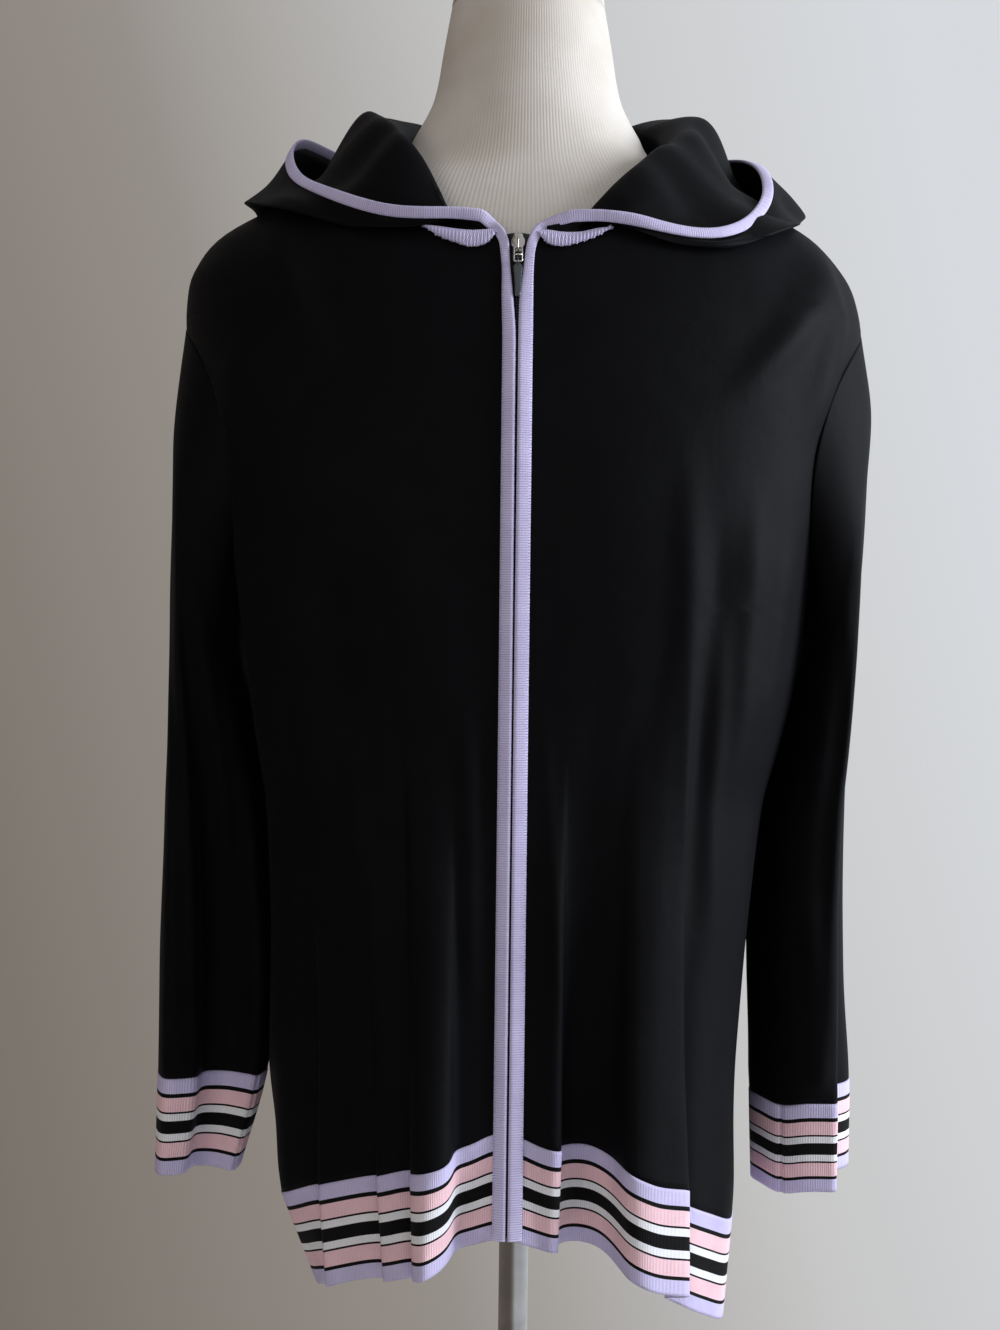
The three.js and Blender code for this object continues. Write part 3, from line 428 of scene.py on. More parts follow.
def bodyRadius(angle, z):
    point = bodyPoint(angle, z)
    return np.hypot(point[..., 0], point[..., 1])


def frontAngle(x, z):
    half = np.where(np.asarray(x) >= 0, bodyLeft(z), bodyRight(z))
    n = bodySquare(z)
    return np.degrees(np.arctan2(x, bodyFront(z) * (1 - np.abs(x / half) ** n) ** (1 / n)))


def frontPoint(side, x, z, out):
    # A point on the front at a distance from the middle.
    return bodyPoint(frontAngle(sideSign[side] * x, z), z, out)


def besideZip(side, reach, z, out):
    # A point on the front at a distance from the zip.
    return bodyPoint(frontAngle(closureX + sideSign[side] * reach, z), z, out)


def bandAngles(side, z):
    # Where the knit under the band starts and where it comes clear of it.
    return [frontAngle(closureX + sideSign[side] * (bandOut(z) + reach), z)
            for reach in (-cardigan["underBand"], cardigan["besideBand"])]


def armholeCut(z):
    u = (z - middleZ) / halfHole
    return np.where(np.abs(u) >= 1, 0, cardigan["armholeReach"] * np.clip(1 - u * u, 0, 1) ** 0.6)


# Folds along the hem, from the zip to the side seam. Each row: the angle where it starts on the
# smooth body, x, y and z of the border's top and of its bottom edge, and where the fold fades out.
frontFolds = {
    "left": [
        (-1.0, -2.8, -148.6, 700, -2.8, -148.6, 630, 900), (1.7, 4.1, -147.5, 698, 4.0, -147, 627.5, 900),
        (6.4, 16.7, -150.5, 693, 17.7, -142, 622, 930), (10.2, 26.6, -155.5, 691.5, 25.0, -144.5, 620.8, 950),
        (11.6, 31.8, -150.5, 690.5, 30.2, -140.3, 619.2, 960),
        (12.4, 29.6, -142.5, 690, 28.6, -131.0, 619.2, 960),
        (13.3, 31.4, -134.4, 689.5, 31.5, -120.4, 619.3, 950),
        (16.3, 40.8, -126.6, 689, 42.8, -112.7, 618.4, 950),
        (19.9, 50.9, -126.8, 688, 54.3, -115.5, 617, 950),
        (23.3, 60.8, -132.8, 685, 62.9, -122.2, 613.8, 950),
        (25.7, 67.3, -139.6, 682, 69.7, -135.7, 610.2, 960),
        (28.6, 76.3, -154.6, 677, 78.0, -151.6, 605.1, 980),
        (31.6, 86.4, -153.9, 672, 88.0, -152.5, 600, 1000),
        (34.6, 96.8, -148.5, 667, 98.5, -146.3, 595, 1040),
        (37.8, 119.4, -129.5, 659, 120.3, -128.7, 587, 1075),
        (39.6, 113.8, -125.4, 656, 114.6, -121.4, 584, 1070),
        (41.8, 104.5, -122.2, 652, 104.0, -114.4, 581, 1060),
        (44.0, 108.0, -117.5, 649, 106.5, -110.0, 578, 1050),
        (48.0, 121.5, -110.7, 642, 118.9, -104.0, 570.4, 1040),
        (55.0, 136.8, -93.5, 632, 133.2, -90.2, 560.2, 1030),
        (64.0, 153.2, -74.4, 622.5, 148.0, -71.6, 550.7, 1030),
        (72.0, 156.5, -48.0, 626, 150.5, -46.0, 554, 960), (81.0, 155.5, -22.0, 631, 149.0, -21.0, 559, 900),
        (90.0, 155.8, 0.0, 634, 150.0, 0.0, 562, 850),
    ],
    "right": [
        (-2.6, -7.2, -148.8, 701, -7.2, -148.8, 631, 900),
        (-5.4, -14.1, -149.5, 700.8, -12.9, -147.5, 630, 900),
        (-11.2, -30.0, -152.5, 693.9, -29.6, -140.0, 623.1, 930),
        (-15.2, -39.4, -154.0, 691.1, -38.4, -141.0, 621, 940),
        (-16.2, -40.9, -160.0, 687.9, -41.4, -149.0, 619, 940),
        (-17.4, -45.1, -168.5, 684, -46.7, -156.4, 613.1, 950),
        (-21.4, -59.6, -171.3, 680, -59.6, -167.1, 608.1, 980),
        (-27.4, -69.8, -159.8, 677, -67.3, -154.6, 605.2, 1000),
        (-28.4, -66.0, -155.4, 676.5, -63.5, -151.6, 604.6, 1000),
        (-29.2, -62.5, -150.6, 676, -60.5, -149.6, 604.2, 990),
        (-29.9, -66.0, -147.6, 675.8, -64.5, -147.2, 604, 990),
        (-31.8, -74.5, -147.3, 675, -72.5, -148.0, 603.3, 980),
        (-33.4, -84.3, -145.3, 672, -80.2, -143.9, 600.1, 970),
        (-36.3, -94.4, -139.4, 668, -88.6, -136.0, 596.3, 960),
        (-37.5, -91.0, -137.4, 667.8, -86.0, -133.6, 596.2, 960),
        (-38.4, -87.2, -134.6, 667.6, -82.5, -129.6, 596.1, 950),
        (-39.3, -90.5, -132.4, 667.5, -86.5, -126.4, 596, 950),
        (-42.0, -99.5, -130.9, 666, -96.0, -123.6, 594.6, 930),
        (-45.5, -115.5, -120.7, 660, -111.9, -114.2, 588.4, 930),
        (-49.6, -136.6, -108.9, 652, -130.8, -103.8, 580.4, 930),
        (-50.8, -133.0, -105.6, 651.4, -127.5, -100.4, 579.8, 920),
        (-51.8, -128.6, -102.4, 650.8, -123.5, -97.4, 579.2, 910),
        (-53.0, -132.0, -98.6, 650.4, -127.0, -93.2, 578.8, 910),
        (-55.5, -142.0, -95.4, 648, -133.6, -87.8, 576.8, 900),
        (-59.0, -151.6, -87.7, 643, -137.4, -78.0, 573.3, 900),
        (-66.0, -164.4, -74.7, 636, -140.7, -64.4, 569.8, 770),
        (-75.0, -167.0, -42.0, 632, -142.5, -40.0, 562, 725),
        (-83.0, -166.5, -18.0, 631, -145.0, -18.0, 560, 715),
        (-90.0, -166.0, 0.0, 631, -146.5, 0.0, 559, 710),
    ],
}
levelZ = 1000  # the height at which the fold angles above are read


def hemCurve(side):
    rows, samples = np.array(frontFolds[side]), 1600
    share = np.linspace(0, len(rows) - 1, samples)
    rest = [np.interp(share, np.arange(len(rows)), rows[:, k]) for k in (0, 7)]
    return evenly(np.column_stack([throughPoints(rows[:, 1:7], samples), *rest]), density["hemStep"], 3)


def waver(angle, z, seed):
    # Slow unevenness of hanging knit, in millimetres.
    a = np.radians(angle)
    return (np.sin(3.1 * a + z * 0.011 + seed) * np.cos(z * 0.017 - 2.3 * a + 2 * seed)
            + 0.6 * np.sin(7.3 * a - z * 0.023 + 3 * seed) * np.sin(z * 0.031 + 1.7 * seed))


def rowShares(bottom):
    # Where a panel's rows lie from hem to neck, closest together at the armhole's two ends.
    low, arm, shoulder = density["panelRows"]
    heights = np.concatenate([np.linspace(bottom, middleZ - halfHole, low),
                              (middleZ - halfHole * np.cos(np.linspace(0, np.pi, arm)))[1:],
                              np.linspace(middleZ + halfHole, float(neckAt(90)), shoulder)[1:]])
    return ((heights - heights[0]) / (heights[-1] - heights[0]))[:, None]


def bodyUv(angle, down):
    return together(np.radians(angle) * uvRadius["body"], down * 0.001)


# Longer folds that lie over the chest and shoulders: angle and height at both ends, width, depth.
drapes = {
    "right": [
        (-66, 1335, -47, 1230, 4, 4.5), (-58, 1240, -70, 1160, 6, 2.0), (-30, 1120, -24, 960, 6, 2.4),
        (-19, 1060, -16, 900, 5, 2.0), (-63, 1130, -50, 930, 5, 2.5), (-44, 1080, -40, 900, 5, -2.4),
        (-13, 970, -11.5, 800, 2.6, 2.6), (-40, 950, -38, 790, 3, 3.0),
    ],
    "left": [
        (77, 1322, 50, 1205, 4.5, 6.5), (71, 1282, 64, 1185, 3.5, 5.0), (37, 1115, 41, 850, 3.2, 3.6),
        (43.5, 1085, 44.5, 930, 2.6, -3.0), (44.5, 1035, 50, 840, 3, 3.8), (51, 1105, 52.5, 950, 3, 3.8),
        (5.8, 965, 11, 790, 2.0, 2.2), (20, 1010, 17, 880, 5, -1.6), (60, 1090, 58, 960, 4, 2.6),
    ],
}


def drapeDepth(side, angle, z):
    total = np.zeros(np.broadcast(angle, z).shape)
    for fromAngle, fromZ, toAngle, toZ, width, depth in drapes[side]:
        t = (fromZ - z) / (fromZ - toZ)
        centre = fromAngle + (toAngle - fromAngle) * np.clip(t, -0.3, 1.3)
        fade = smoothStep(-0.25, 0.2, t) * (1 - smoothStep(0.75, 1.25, t))
        total += depth * fade * bell(angle, centre, width)
    return total


def frontPanel(side):
    sign = sideSign[side]
    line = hemCurve(side)[0]
    hemTop, own, start = line[:, :3], line[:, 6], line[:, 7]
    low = hemTop[:, 2]
    firstAtLevel, besideAtLevel = bandAngles(side, levelZ)
    z = low + rowShares(low[-1]) * (neckAt(own) - low)

    def angleAt(z):
        first, beside = bandAngles(side, z)
        last = sign * (90 - armholeCut(z) - 0.05)
        inner = (own - firstAtLevel) / (besideAtLevel - firstAtLevel)
        outer = (own - besideAtLevel) / (sign * 90 - besideAtLevel)
        return np.where(np.abs(own) <= abs(besideAtLevel), first + inner * (beside - first),
                        beside + outer * (last - beside))

    angle = angleAt(z)
    base = bodyPoint(angle, z)
    t = np.clip((start - z) / (start - low), 0, 1)
    weight = t * t / (t + 0.06) * 1.06
    grid = base + (hemTop - bodyPoint(angleAt(low), low)) * weight[..., None]
    fade = smoothStep(3, 12, np.abs(own)) * smoothStep(0, 25, z - low)
    edge = smoothStep(0, 25, np.abs(sign * 90 - angle)) * (1 - smoothStep(-30, -4, z - neckAt(angle)))
    out = (drapeDepth(side, angle, z) + 0.9 * waver(angle, z, sign)) * fade * edge
    grid += (bodyPoint(angle, z, 1.0) - base) * out[..., None]
    grid[..., 2] = z
    return grid, bodyUv(angle, z)


def frontBorder(side):
    line, along = hemCurve(side)
    top, bottom = line[:, :3], line[:, 3:6]
    t = np.linspace(1, 0, density["frontBorderRows"])[:, None]
    grid = bottom + (top - bottom) * t[..., None]
    grid[..., 2] -= cardigan["borderDrop"] * t
    return grid, together(along * 0.001, (1 - t) * borderHeight * 0.001)


backFolds = [  # angle at the hem, angle at the top, height where it starts, width, depth
    (103, 108, 1000, 5, 9), (117, 121, 980, 6, -8), (132, 138, 1110, 7, 12), (148, 150, 980, 6, -9),
    (163, 160, 1050, 8, 10), (178, 178, 950, 5, -8), (-168, -164, 1120, 6, 11), (-153, -156, 1000, 6, -9),
    (-139, -146, 1080, 7, 12), (-124, -128, 980, 6, -8), (-109, -112, 1000, 6, 9),
]


def wrapped(angle):
    return (angle + 180) % 360 - 180


def backShape(angle, z):
    turned = wrapped(angle)
    total = np.zeros(turned.shape)
    for hemAngle, topAngle, start, width, depth in backFolds:
        k = smoothStep(0, 1, (start - z) / (start - 660)) ** 0.8
        centre = topAngle + (hemAngle - topAngle) * k
        total += depth * k * bell(wrapped(turned - centre), 0, width)
    return (total + 1.3 * waver(angle, z, 2.0)) * smoothStep(90, 99, np.abs(turned))


def backAngles(z, share):
    cut = armholeCut(z) + 0.05
    return 90 + cut + share * (180 - 2 * cut)


backShare = np.linspace(0, 1, density["backColumns"])
hemAngles = backAngles(700, backShare)
hemTurned = wrapped(hemAngles)
hemHeight = backHem(hemTurned)


def backPanel():
    top = neckAt(hemTurned)
    z = hemHeight + rowShares(634) * (top - hemHeight)
    angle = backAngles(z, backShare)
    calm = 1 - smoothStep(-60, -10, z - top)
    return bodyPoint(angle, z, backShape(angle, z) * calm), bodyUv(angle, z)


def backBorder():
    t = np.linspace(1, 0, density["backBorderRows"])[:, None]
    inward = np.where(hemTurned < 0, 25, 5.8) * t * (1 - smoothStep(100, 165, np.abs(hemTurned)) * 0.7)
    grid = bodyPoint(hemAngles, hemHeight + 0 * t, backShape(hemAngles + 0 * t, hemHeight + 0 * t) - inward)
    grid[..., 2] = hemHeight - cardigan["borderDrop"] - borderHeight * t
    return grid, bodyUv(hemAngles, t * borderHeight)


sleeveTables = {  # height, inner and outer distance from the middle, half depth, how far back
    "left": [
        (623, 181, 262, 38, 22), (694, 177, 260, 41, 9), (760, 176, 257, 50, 7), (800, 175, 256, 55, 7),
        (840, 173, 255, 59, 7), (912, 181, 254, 66, 7), (952, 192, 253, 71, 6), (990, 201, 252, 75, 5),
        (1034, 207, 252, 78, 4), (1144, 207, 254, 86, 4), (1204, 207, 258, 86, 5), (1270, 207, 255, 84, 6),
    ],
    "right": [
        (634, 207, 269, 34, 0), (705, 188, 268, 38, 2), (760, 184, 268, 50, 6), (835, 184.5, 266, 59, 8),
        (912, 189.5, 265, 66, 8), (952, 196.5, 263, 71, 6), (990, 202.5, 262, 75, 5), (1034, 208, 261, 78, 4),
        (1144, 209, 260, 86, 4), (1204, 209, 259, 86, 5), (1270, 209, 257, 84, 6),
    ],
}
cuffSpan = {"left": (693, 624), "right": (705, 634)}
# The folded section of the empty sleeve at its cuff: turn from the outer side, then across and
# back, as shares of its half width and half depth.
cuffFolds = {
    "left": [
        (0, 1.0, 0.95), (20, 0.88, 0.66), (36, 0.64, 0.4), (47, 0.44, 0.22), (54, 0.36, -0.15),
        (61, 0.42, -0.72), (67, 0.43, -0.95), (85, 0.22, -1.0), (115, -0.32, -0.92), (145, -0.8, -0.55),
        (180, -1.0, 0.0), (220, -0.75, 0.62), (265, -0.1, 1.0), (310, 0.6, 1.15), (340, 0.92, 1.12),
    ],
    "right": [
        (0, 1.0, -0.1), (20, 0.93, -0.6), (38, 0.72, -0.98), (58, 0.35, -0.92), (66, 0.18, -0.78),
        (72, 0.15, -0.42), (84, 0.02, -0.26), (110, -0.35, -0.28), (140, -0.8, -0.5), (160, -0.97, -0.32),
        (180, -1.0, 0.05), (225, -0.65, 0.75), (270, 0.0, 1.0), (315, 0.7, 0.75),
    ],
}
cuffSeams = {"left": (128, 3.6, 17), "right": (150, 1.5, 10)}  # turn round the cuff, dip and width
seamGroove = {"depth": 1.9, "width": 1.9}
sleeveFold = {"left": (1150, 760), "right": (1120, 700)}  # where the folded section begins and is full
# Depth, turn round the sleeve, its drift for each millimetre below a height, width, and the fade.
sleeveCreases = [
    (2.4, 60, 0.06, 1150, 9, 1180, 1080), (-2.2, 38, 0.05, 1150, 8, 1180, 1080),
    (2.6, 108, -0.05, 1000, 11, 1080, 930), (3.0, 262, 0, 0, 16, 1150, 900), (-3.0, 230, 0, 0, 13, 1150, 900),
]
sleeveCurves = {side: tableCurves(rows) for side, rows in sleeveTables.items()}


def foldedSection(side, turn):
    rows = np.array(cuffFolds[side], float)
    rows = np.concatenate([rows[-2:] - [360, 0, 0], rows, rows[:3] + [360, 0, 0]])
    return [curve(np.degrees(turn) % 360) for curve in tableCurves(rows)]


def tubePoint(side, turn, z):
    inner, outer, depth, back = [curve(z) for curve in sleeveCurves[side]]
    start, full = sleeveFold[side]
    k = smoothStep(0, 1, (start - z) / (start - full)) ** 0.9
    crossX, crossY = foldedSection(side, turn)
    x = (outer + inner) / 2 + (outer - inner) / 2 * (np.cos(turn) * (1 - k) + crossX * k)
    y = back + depth * (-np.sin(turn) * (1 - k) + crossY * k)
    return together(sideSign[side] * x, y, z)


def cuffDip(side, turn):
    # The seam hangs a little lower than the cuff beside it.
    place, dip, width = cuffSeams[side]
    return dip * bell(np.degrees(turn), place, width)


def sleeveCloth(side):
    sign = sideSign[side]
    turn = fullTurn(density["sleeveTurns"])
    ring = middleZ + halfHole * np.cos(turn)
    cut = armholeCut(ring)
    start = bodyPoint(sign * np.where(np.sin(turn) >= 0, 90 - cut, 90 + cut), ring, 0.5)
    half = (bodyLeft if side == "left" else bodyRight)(middleZ)
    start += unit(np.array([sign * half, 0, middleZ]) - start) * 0.7
    v = np.linspace(0, 1, density["sleeveRows"])[:, None] ** 1.15
    z = ring + (cuffSpan[side][0] + 0.6 - cuffDip(side, turn) - ring) * v
    near = (np.clip(1 - (ring - z) / 75, 0, 1) ** 2)[..., None]
    grid = tubePoint(side, turn, z) * (1 - near) + together(start[:, 0], start[:, 1], z) * near
    away = unit(grid - together(sign * (half + 8), 6.0, z))
    calm = smoothStep(0.02, 0.2, v) * (1 - smoothStep(0.95, 1, v))
    turned = np.degrees(turn)
    creases = sum(depth * bell(turned, place + (level - z) * drift, width) * smoothStep(upper, lower, z)
                  for depth, place, drift, level, width, upper, lower in sleeveCreases)
    grid += away * ((creases + 1.1 * waver(turned, z, 4 + sign)) * calm)[..., None]
    grid[..., 2] = z
    return grid, together(turn * uvRadius["sleeve"], z * 0.001)


def cuffCloth(side):
    turn = fullTurn(density["cuffTurns"])
    top, bottom = cuffSpan[side]
    t = np.linspace(0, 1, density["cuffRows"])[:, None]
    grid = tubePoint(side, turn + 0 * t, top + (bottom - top) * t + 0 * turn)
    grid[..., 2] -= cuffDip(side, turn)
    away = unit(grid - grid.mean(1, keepdims=True))
    groove = seamGroove["depth"] * bell(np.degrees(turn), cuffSeams[side][0], seamGroove["width"])
    grid -= away * groove[:, None]
    return grid, together(turn * uvRadius["cuff"], t * borderHeight * 0.001)


hoodTables = {  # angle, then distance out and height of the edge at the neck, the crest and the pouch
    "left": [
        (0, 127, 1304, 127.3, 1304.5, 127.6, 1305), (14, 127.8, 1307, 128.2, 1308, 128.6, 1309),
        (24, 120, 1326, 123, 1330, 130.4, 1320), (31, 116.5, 1341, 121, 1345, 136, 1330),
        (40, 115, 1356, 121, 1361, 142, 1338), (53, 109, 1371, 119, 1380, 155, 1335),
        (62, 108, 1379, 121, 1388, 163, 1339), (70, 106, 1388, 121, 1397, 169, 1344),
        (78, 102, 1397, 123, 1407, 165, 1348), (85, 99, 1405, 126, 1417, 159, 1354),
        (95, 94, 1416, 132, 1428, 162, 1370), (103, 91, 1421, 138, 1431, 165, 1382),
        (115, 87, 1426, 141, 1434, 166, 1388), (130, 84, 1426, 131, 1437, 162, 1356),
        (145, 82, 1420, 114, 1438, 156, 1286), (160, 79, 1414, 104, 1436, 148, 1214),
        (180, 78, 1410, 101, 1435, 147, 1176),
    ],
    "right": [
        (0, 127, 1304, 127.3, 1304.5, 127.6, 1305), (14, 127.8, 1307, 128.2, 1308, 128.6, 1309),
        (24, 125.5, 1317, 127, 1321, 130.4, 1318), (31, 116, 1335, 120, 1341, 132, 1328),
        (40, 110, 1357, 116, 1367, 139, 1338), (53, 104, 1376, 113, 1391, 151, 1347),
        (70, 98, 1393, 114, 1411, 160, 1353), (85, 96, 1403, 117, 1423, 163, 1361),
        (100, 92, 1410, 118, 1430, 163, 1359), (120, 88, 1412, 112, 1437, 160, 1336),
        (140, 83, 1411, 105, 1438, 156, 1263), (160, 79, 1409, 102, 1436, 147, 1195),
        (180, 78, 1408, 101, 1435, 147, 1176),
    ],
}
pouchTables = {  # angle, then the widest part of the pouch and its rim
    "left": [
        (0, 128, 1305.5, 128.3, 1306), (14, 129.2, 1311, 129.8, 1313), (24, 133, 1313.6, 135.4, 1315),
        (31, 142, 1307, 147, 1311), (40, 155, 1299, 158, 1305), (48, 169, 1297, 172, 1303),
        (54, 182, 1302, 182, 1310), (60, 193, 1311, 184, 1321), (70, 205, 1326, 185, 1343),
        (80, 207, 1340, 183, 1364), (90, 209, 1350, 182.5, 1383), (100, 208, 1350, 181.5, 1400),
        (112, 206, 1336, 179, 1412), (125, 202, 1308, 174, 1413), (140, 195, 1264, 165, 1402),
        (160, 187, 1235, 158, 1394), (180, 184, 1222, 156, 1391),
    ],
    "right": [
        (0, 128, 1305.5, 128.3, 1306), (14, 129.2, 1311, 129.8, 1313), (24, 133, 1313.6, 136.2, 1316),
        (31, 142, 1309, 147, 1314), (40, 155, 1309, 157, 1318), (52, 172, 1317, 168, 1332),
        (60, 190, 1326, 173, 1343), (70, 205, 1337, 178, 1357), (78, 208, 1345, 179, 1373),
        (87, 206, 1350, 179, 1391), (97, 208, 1345, 175, 1408), (120, 204, 1320, 166, 1410),
        (140, 195, 1264, 161, 1403), (160, 187, 1235, 158, 1394), (180, 184, 1222, 156, 1391),
    ],
}
hoodCurves = {side: tableCurves(hoodTables[side]) + tableCurves(pouchTables[side]) for side in sideSign}
hoodShare = np.linspace(0, 1, density["hoodRows"] + 1)[:, None]


def planePoint(angle, r, z):
    turn = np.radians(angle)
    return together(r * np.sin(turn), -r * np.cos(turn), z)


def hoodAngles(side):
    near, far = density["hoodColumns"]
    first = abs(float(bandAngles(side, 1303)[1]))
    return np.concatenate([np.linspace(first, 30, near), np.linspace(30, 179.85, far)[1:]])


def hoodProfile(side, angle):
    # Each column's path, out and up, from inside the neck over the crest and the pouch to the rim.
    sign = sideSign[side]
    start = neckAt(angle) - 2.5
    keys = [bodyRadius(sign * angle, start) - 2.2, start, *(curve(angle) for curve in hoodCurves[side])]
    profile = throughPoints(np.reshape(keys, (6, 2, -1)).transpose(0, 2, 1), len(hoodShare))
    out, z = profile[..., 0], profile[..., 1]
    spare = (2.6 + 5 * smoothStep(0.62, 0.86, hoodShare)) * smoothStep(20, 32, angle)
    clear = bodyRadius(sign * angle, z) + spare
    return together(np.where(hoodShare > 0.35, np.maximum(out, clear), out), z)


def hoodCloth(side):
    sign = sideSign[side]
    angle = hoodAngles(side)
    profile = hoodProfile(side, angle)
    soft = smoothStep(0.12, 0.3, hoodShare) * (1 - smoothStep(0.9, 1, hoodShare)) * smoothStep(30, 50, angle)
    a = np.radians(angle)
    ripple = (1.6 * np.sin(9 * a + 5 * hoodShare + sign) + 1.2 * np.sin(17 * a - 9 * hoodShare + 2 * sign)
              + 1.4 * np.sin(5 * a + 11 * hoodShare))
    grid = planePoint(sign * angle, profile[..., 0] + ripple * soft, profile[..., 1] + 0.6 * ripple * soft)
    length = np.cumsum(np.linalg.norm(np.diff(grid, axis=0), axis=-1), 0)
    length = np.concatenate([np.zeros((1, len(angle))), length])
    return grid, together(a * uvRadius["hood"], length * 0.001)


trims = {
    "thick": 2.6,
    "step": 0.33,
    "sides": 12,
    "ribPitch": 1.3,
    "ribDepth": 0.2,
    "tilt": 17,  # the edges by the zip stand proud
    "hoodWidth": 8.2,
}
# The binding up each front edge: height, distance from the zip and width.
bindingTables = {
    "left": [
        (630, 5.7, 10.2), (1225, 5.7, 9.9), (1259, 6.0, 9.0), (1279, 7.2, 6.8), (1291, 8.2, 6.4),
    ],
    "right": [
        (630, 5.0, 9.3), (1225, 5.2, 9.2), (1259, 6.8, 7.7), (1279, 7.9, 5.8), (1291, 8.9, 6.2),
    ],
}
# The turn at the neck: distance from the zip, height, width, and the way the free edge leans.
bindingTurn = [(9.8, 1298.5, 6.6, -0.8, 0.6), (12.6, 1305, 7.2, -0.5, 0.87), (17.2, 1309.8, 7.6, -0.25, 0.97)]


def bindingPath(side):
    # The middle of the binding: up the front edge, out along the neck and round the hood's opening.
    sign = sideSign[side]
    out, width = tableCurves(bindingTables[side])
    z = np.concatenate([np.linspace(630.5, 1225, 60), np.linspace(1225, 1291, 16)[1:]])
    x = closureX + sign * out(z)
    middle = bodyPoint(frontAngle(x, z), z, 1.5)
    ahead = bodyPoint(frontAngle(x + 1, z), z, 1.5) - middle
    front = np.column_stack([middle, -sign * unit(ahead), width(z)])
    turnOut, turnZ, turnWidth, leanX, leanZ = np.array(bindingTurn).T
    turned = besideZip(side, turnOut, turnZ, 1.7)
    corner = np.column_stack([turned, sign * leanX, 0 * leanX, leanZ, turnWidth])
    rimAngle = hoodAngles(side)
    profile = hoodProfile(side, rimAngle)
    keep = rimAngle > 13
    rimAngle, rim, away = rimAngle[keep], profile[-1][keep], unit(profile[-1] - profile[-6])[keep]
    flatter = smoothStep(64, 84, rimAngle) * (1 - smoothStep(112, 135, rimAngle)) * (side == "left")
    up = together(away[:, 0] * 0.8, np.maximum(away[:, 1], 0.4))
    up = unit(up * (1 - flatter[:, None]) + np.array([-0.92, 0.1]) * flatter[:, None])
    centre = rim + up * trims["hoodWidth"] * 0.45 + together(up[:, 1], -up[:, 0]) * 0.5
    centre, up = softened(centre, 45), unit(softened(up, 45))
    ring, ringFree = [planePoint(sign * rimAngle, way[:, 0], way[:, 1]) for way in (centre, up)]
    hoodPart = np.column_stack([ring, ringFree, np.full(len(ring), trims["hoodWidth"])])
    line, along = evenly(throughPoints(np.concatenate([front, corner, hoodPart]), 4000), trims["step"], 30)
    path, free = line[:, :3], unit(line[:, 3:6])
    outward = sign * unit(np.cross(unit(np.gradient(path, axis=0)), free))
    tilt = np.radians(trims["tilt"] * (1 - smoothStep(560, 690, along)))[:, None]
    return path, free * np.cos(tilt) + outward * np.sin(tilt), line[:, 6], along


def slab(path, free, width, along, sign, name):
    # A flattened tube that follows a path: free is the way its width points.
    ring = trims["sides"]
    tangent = unit(np.gradient(path, axis=0))
    outward = sign * unit(np.cross(tangent, free))
    free = sign * unit(np.cross(outward, tangent))
    turn = fullTurn(ring)
    c, s = np.cos(turn), np.sin(turn)
    across = np.sign(c) * np.abs(c) ** 0.75 * width[:, None] / 2
    out = np.sign(s) * np.abs(s) ** 0.6 * trims["thick"] / 2
    grid = path[:, None] + free[:, None] * across[..., None] + outward[:, None] * out[:, None]
    obj = gridMesh(name, grid, together(along[:, None] * 0.001, turn * 0.0025), wrap=True)
    mend(obj, (len(path), ring))
    storeAlong(obj, np.repeat(along * 0.001, ring))
    return obj


def storeAlong(obj, values):
    layer = obj.data.attributes.new("along", "FLOAT", "POINT")
    layer.data.foreach_set("value", np.asarray(values, np.float32).ravel())


def newTree(name, inputs):
    tree = bpy.data.node_groups.new(name, "GeometryNodeTree")
    for label, kind in {"Geometry": "Geometry", **inputs}.items():
        tree.interface.new_socket(label, in_out="INPUT", socket_type=f"NodeSocket{kind}")
    tree.interface.new_socket("Geometry", in_out="OUTPUT", socket_type="NodeSocketGeometry")
    return tree, addNode(tree, "NodeGroupInput")


def endTree(tree, given, geometry):
    real = addNode(tree, "GeometryNodeRealizeInstances", {"Geometry": geometry})["Geometry"]
    done = addNode(tree, "GeometryNodeSetMaterial", {"Geometry": real, "Material": given["Material"]})
    addNode(tree, "NodeGroupOutput", {"Geometry": done["Geometry"]})
    return tree


def ribTree():
    # Raises ribs across a strip, by the distance stored along it.
    tree, given = newTree("raised ribs", {"Pitch": "Float", "Depth": "Float", "Material": "Material"})
    m = partial(mathNode, tree)
    stored = addNode(tree, "GeometryNodeInputNamedAttribute", {"Name": "along"}, data_type="FLOAT")
    turn = m("DIVIDE", m("MULTIPLY", stored["Attribute"], math.pi), given["Pitch"])
    wave = m("POWER", m("ABSOLUTE", m("SINE", turn)), 0.7)
    lift = m("MULTIPLY", m("SUBTRACT", wave, 0.6), given["Depth"])
    normal = addNode(tree, "GeometryNodeInputNormal")["Normal"]
    offset = addNode(tree, "ShaderNodeVectorMath", {0: normal, "Scale": lift}, operation="SCALE")["Vector"]
    moved = addNode(tree, "GeometryNodeSetPosition", {"Geometry": given["Geometry"], "Offset": offset})
    return endTree(tree, given, moved["Geometry"])


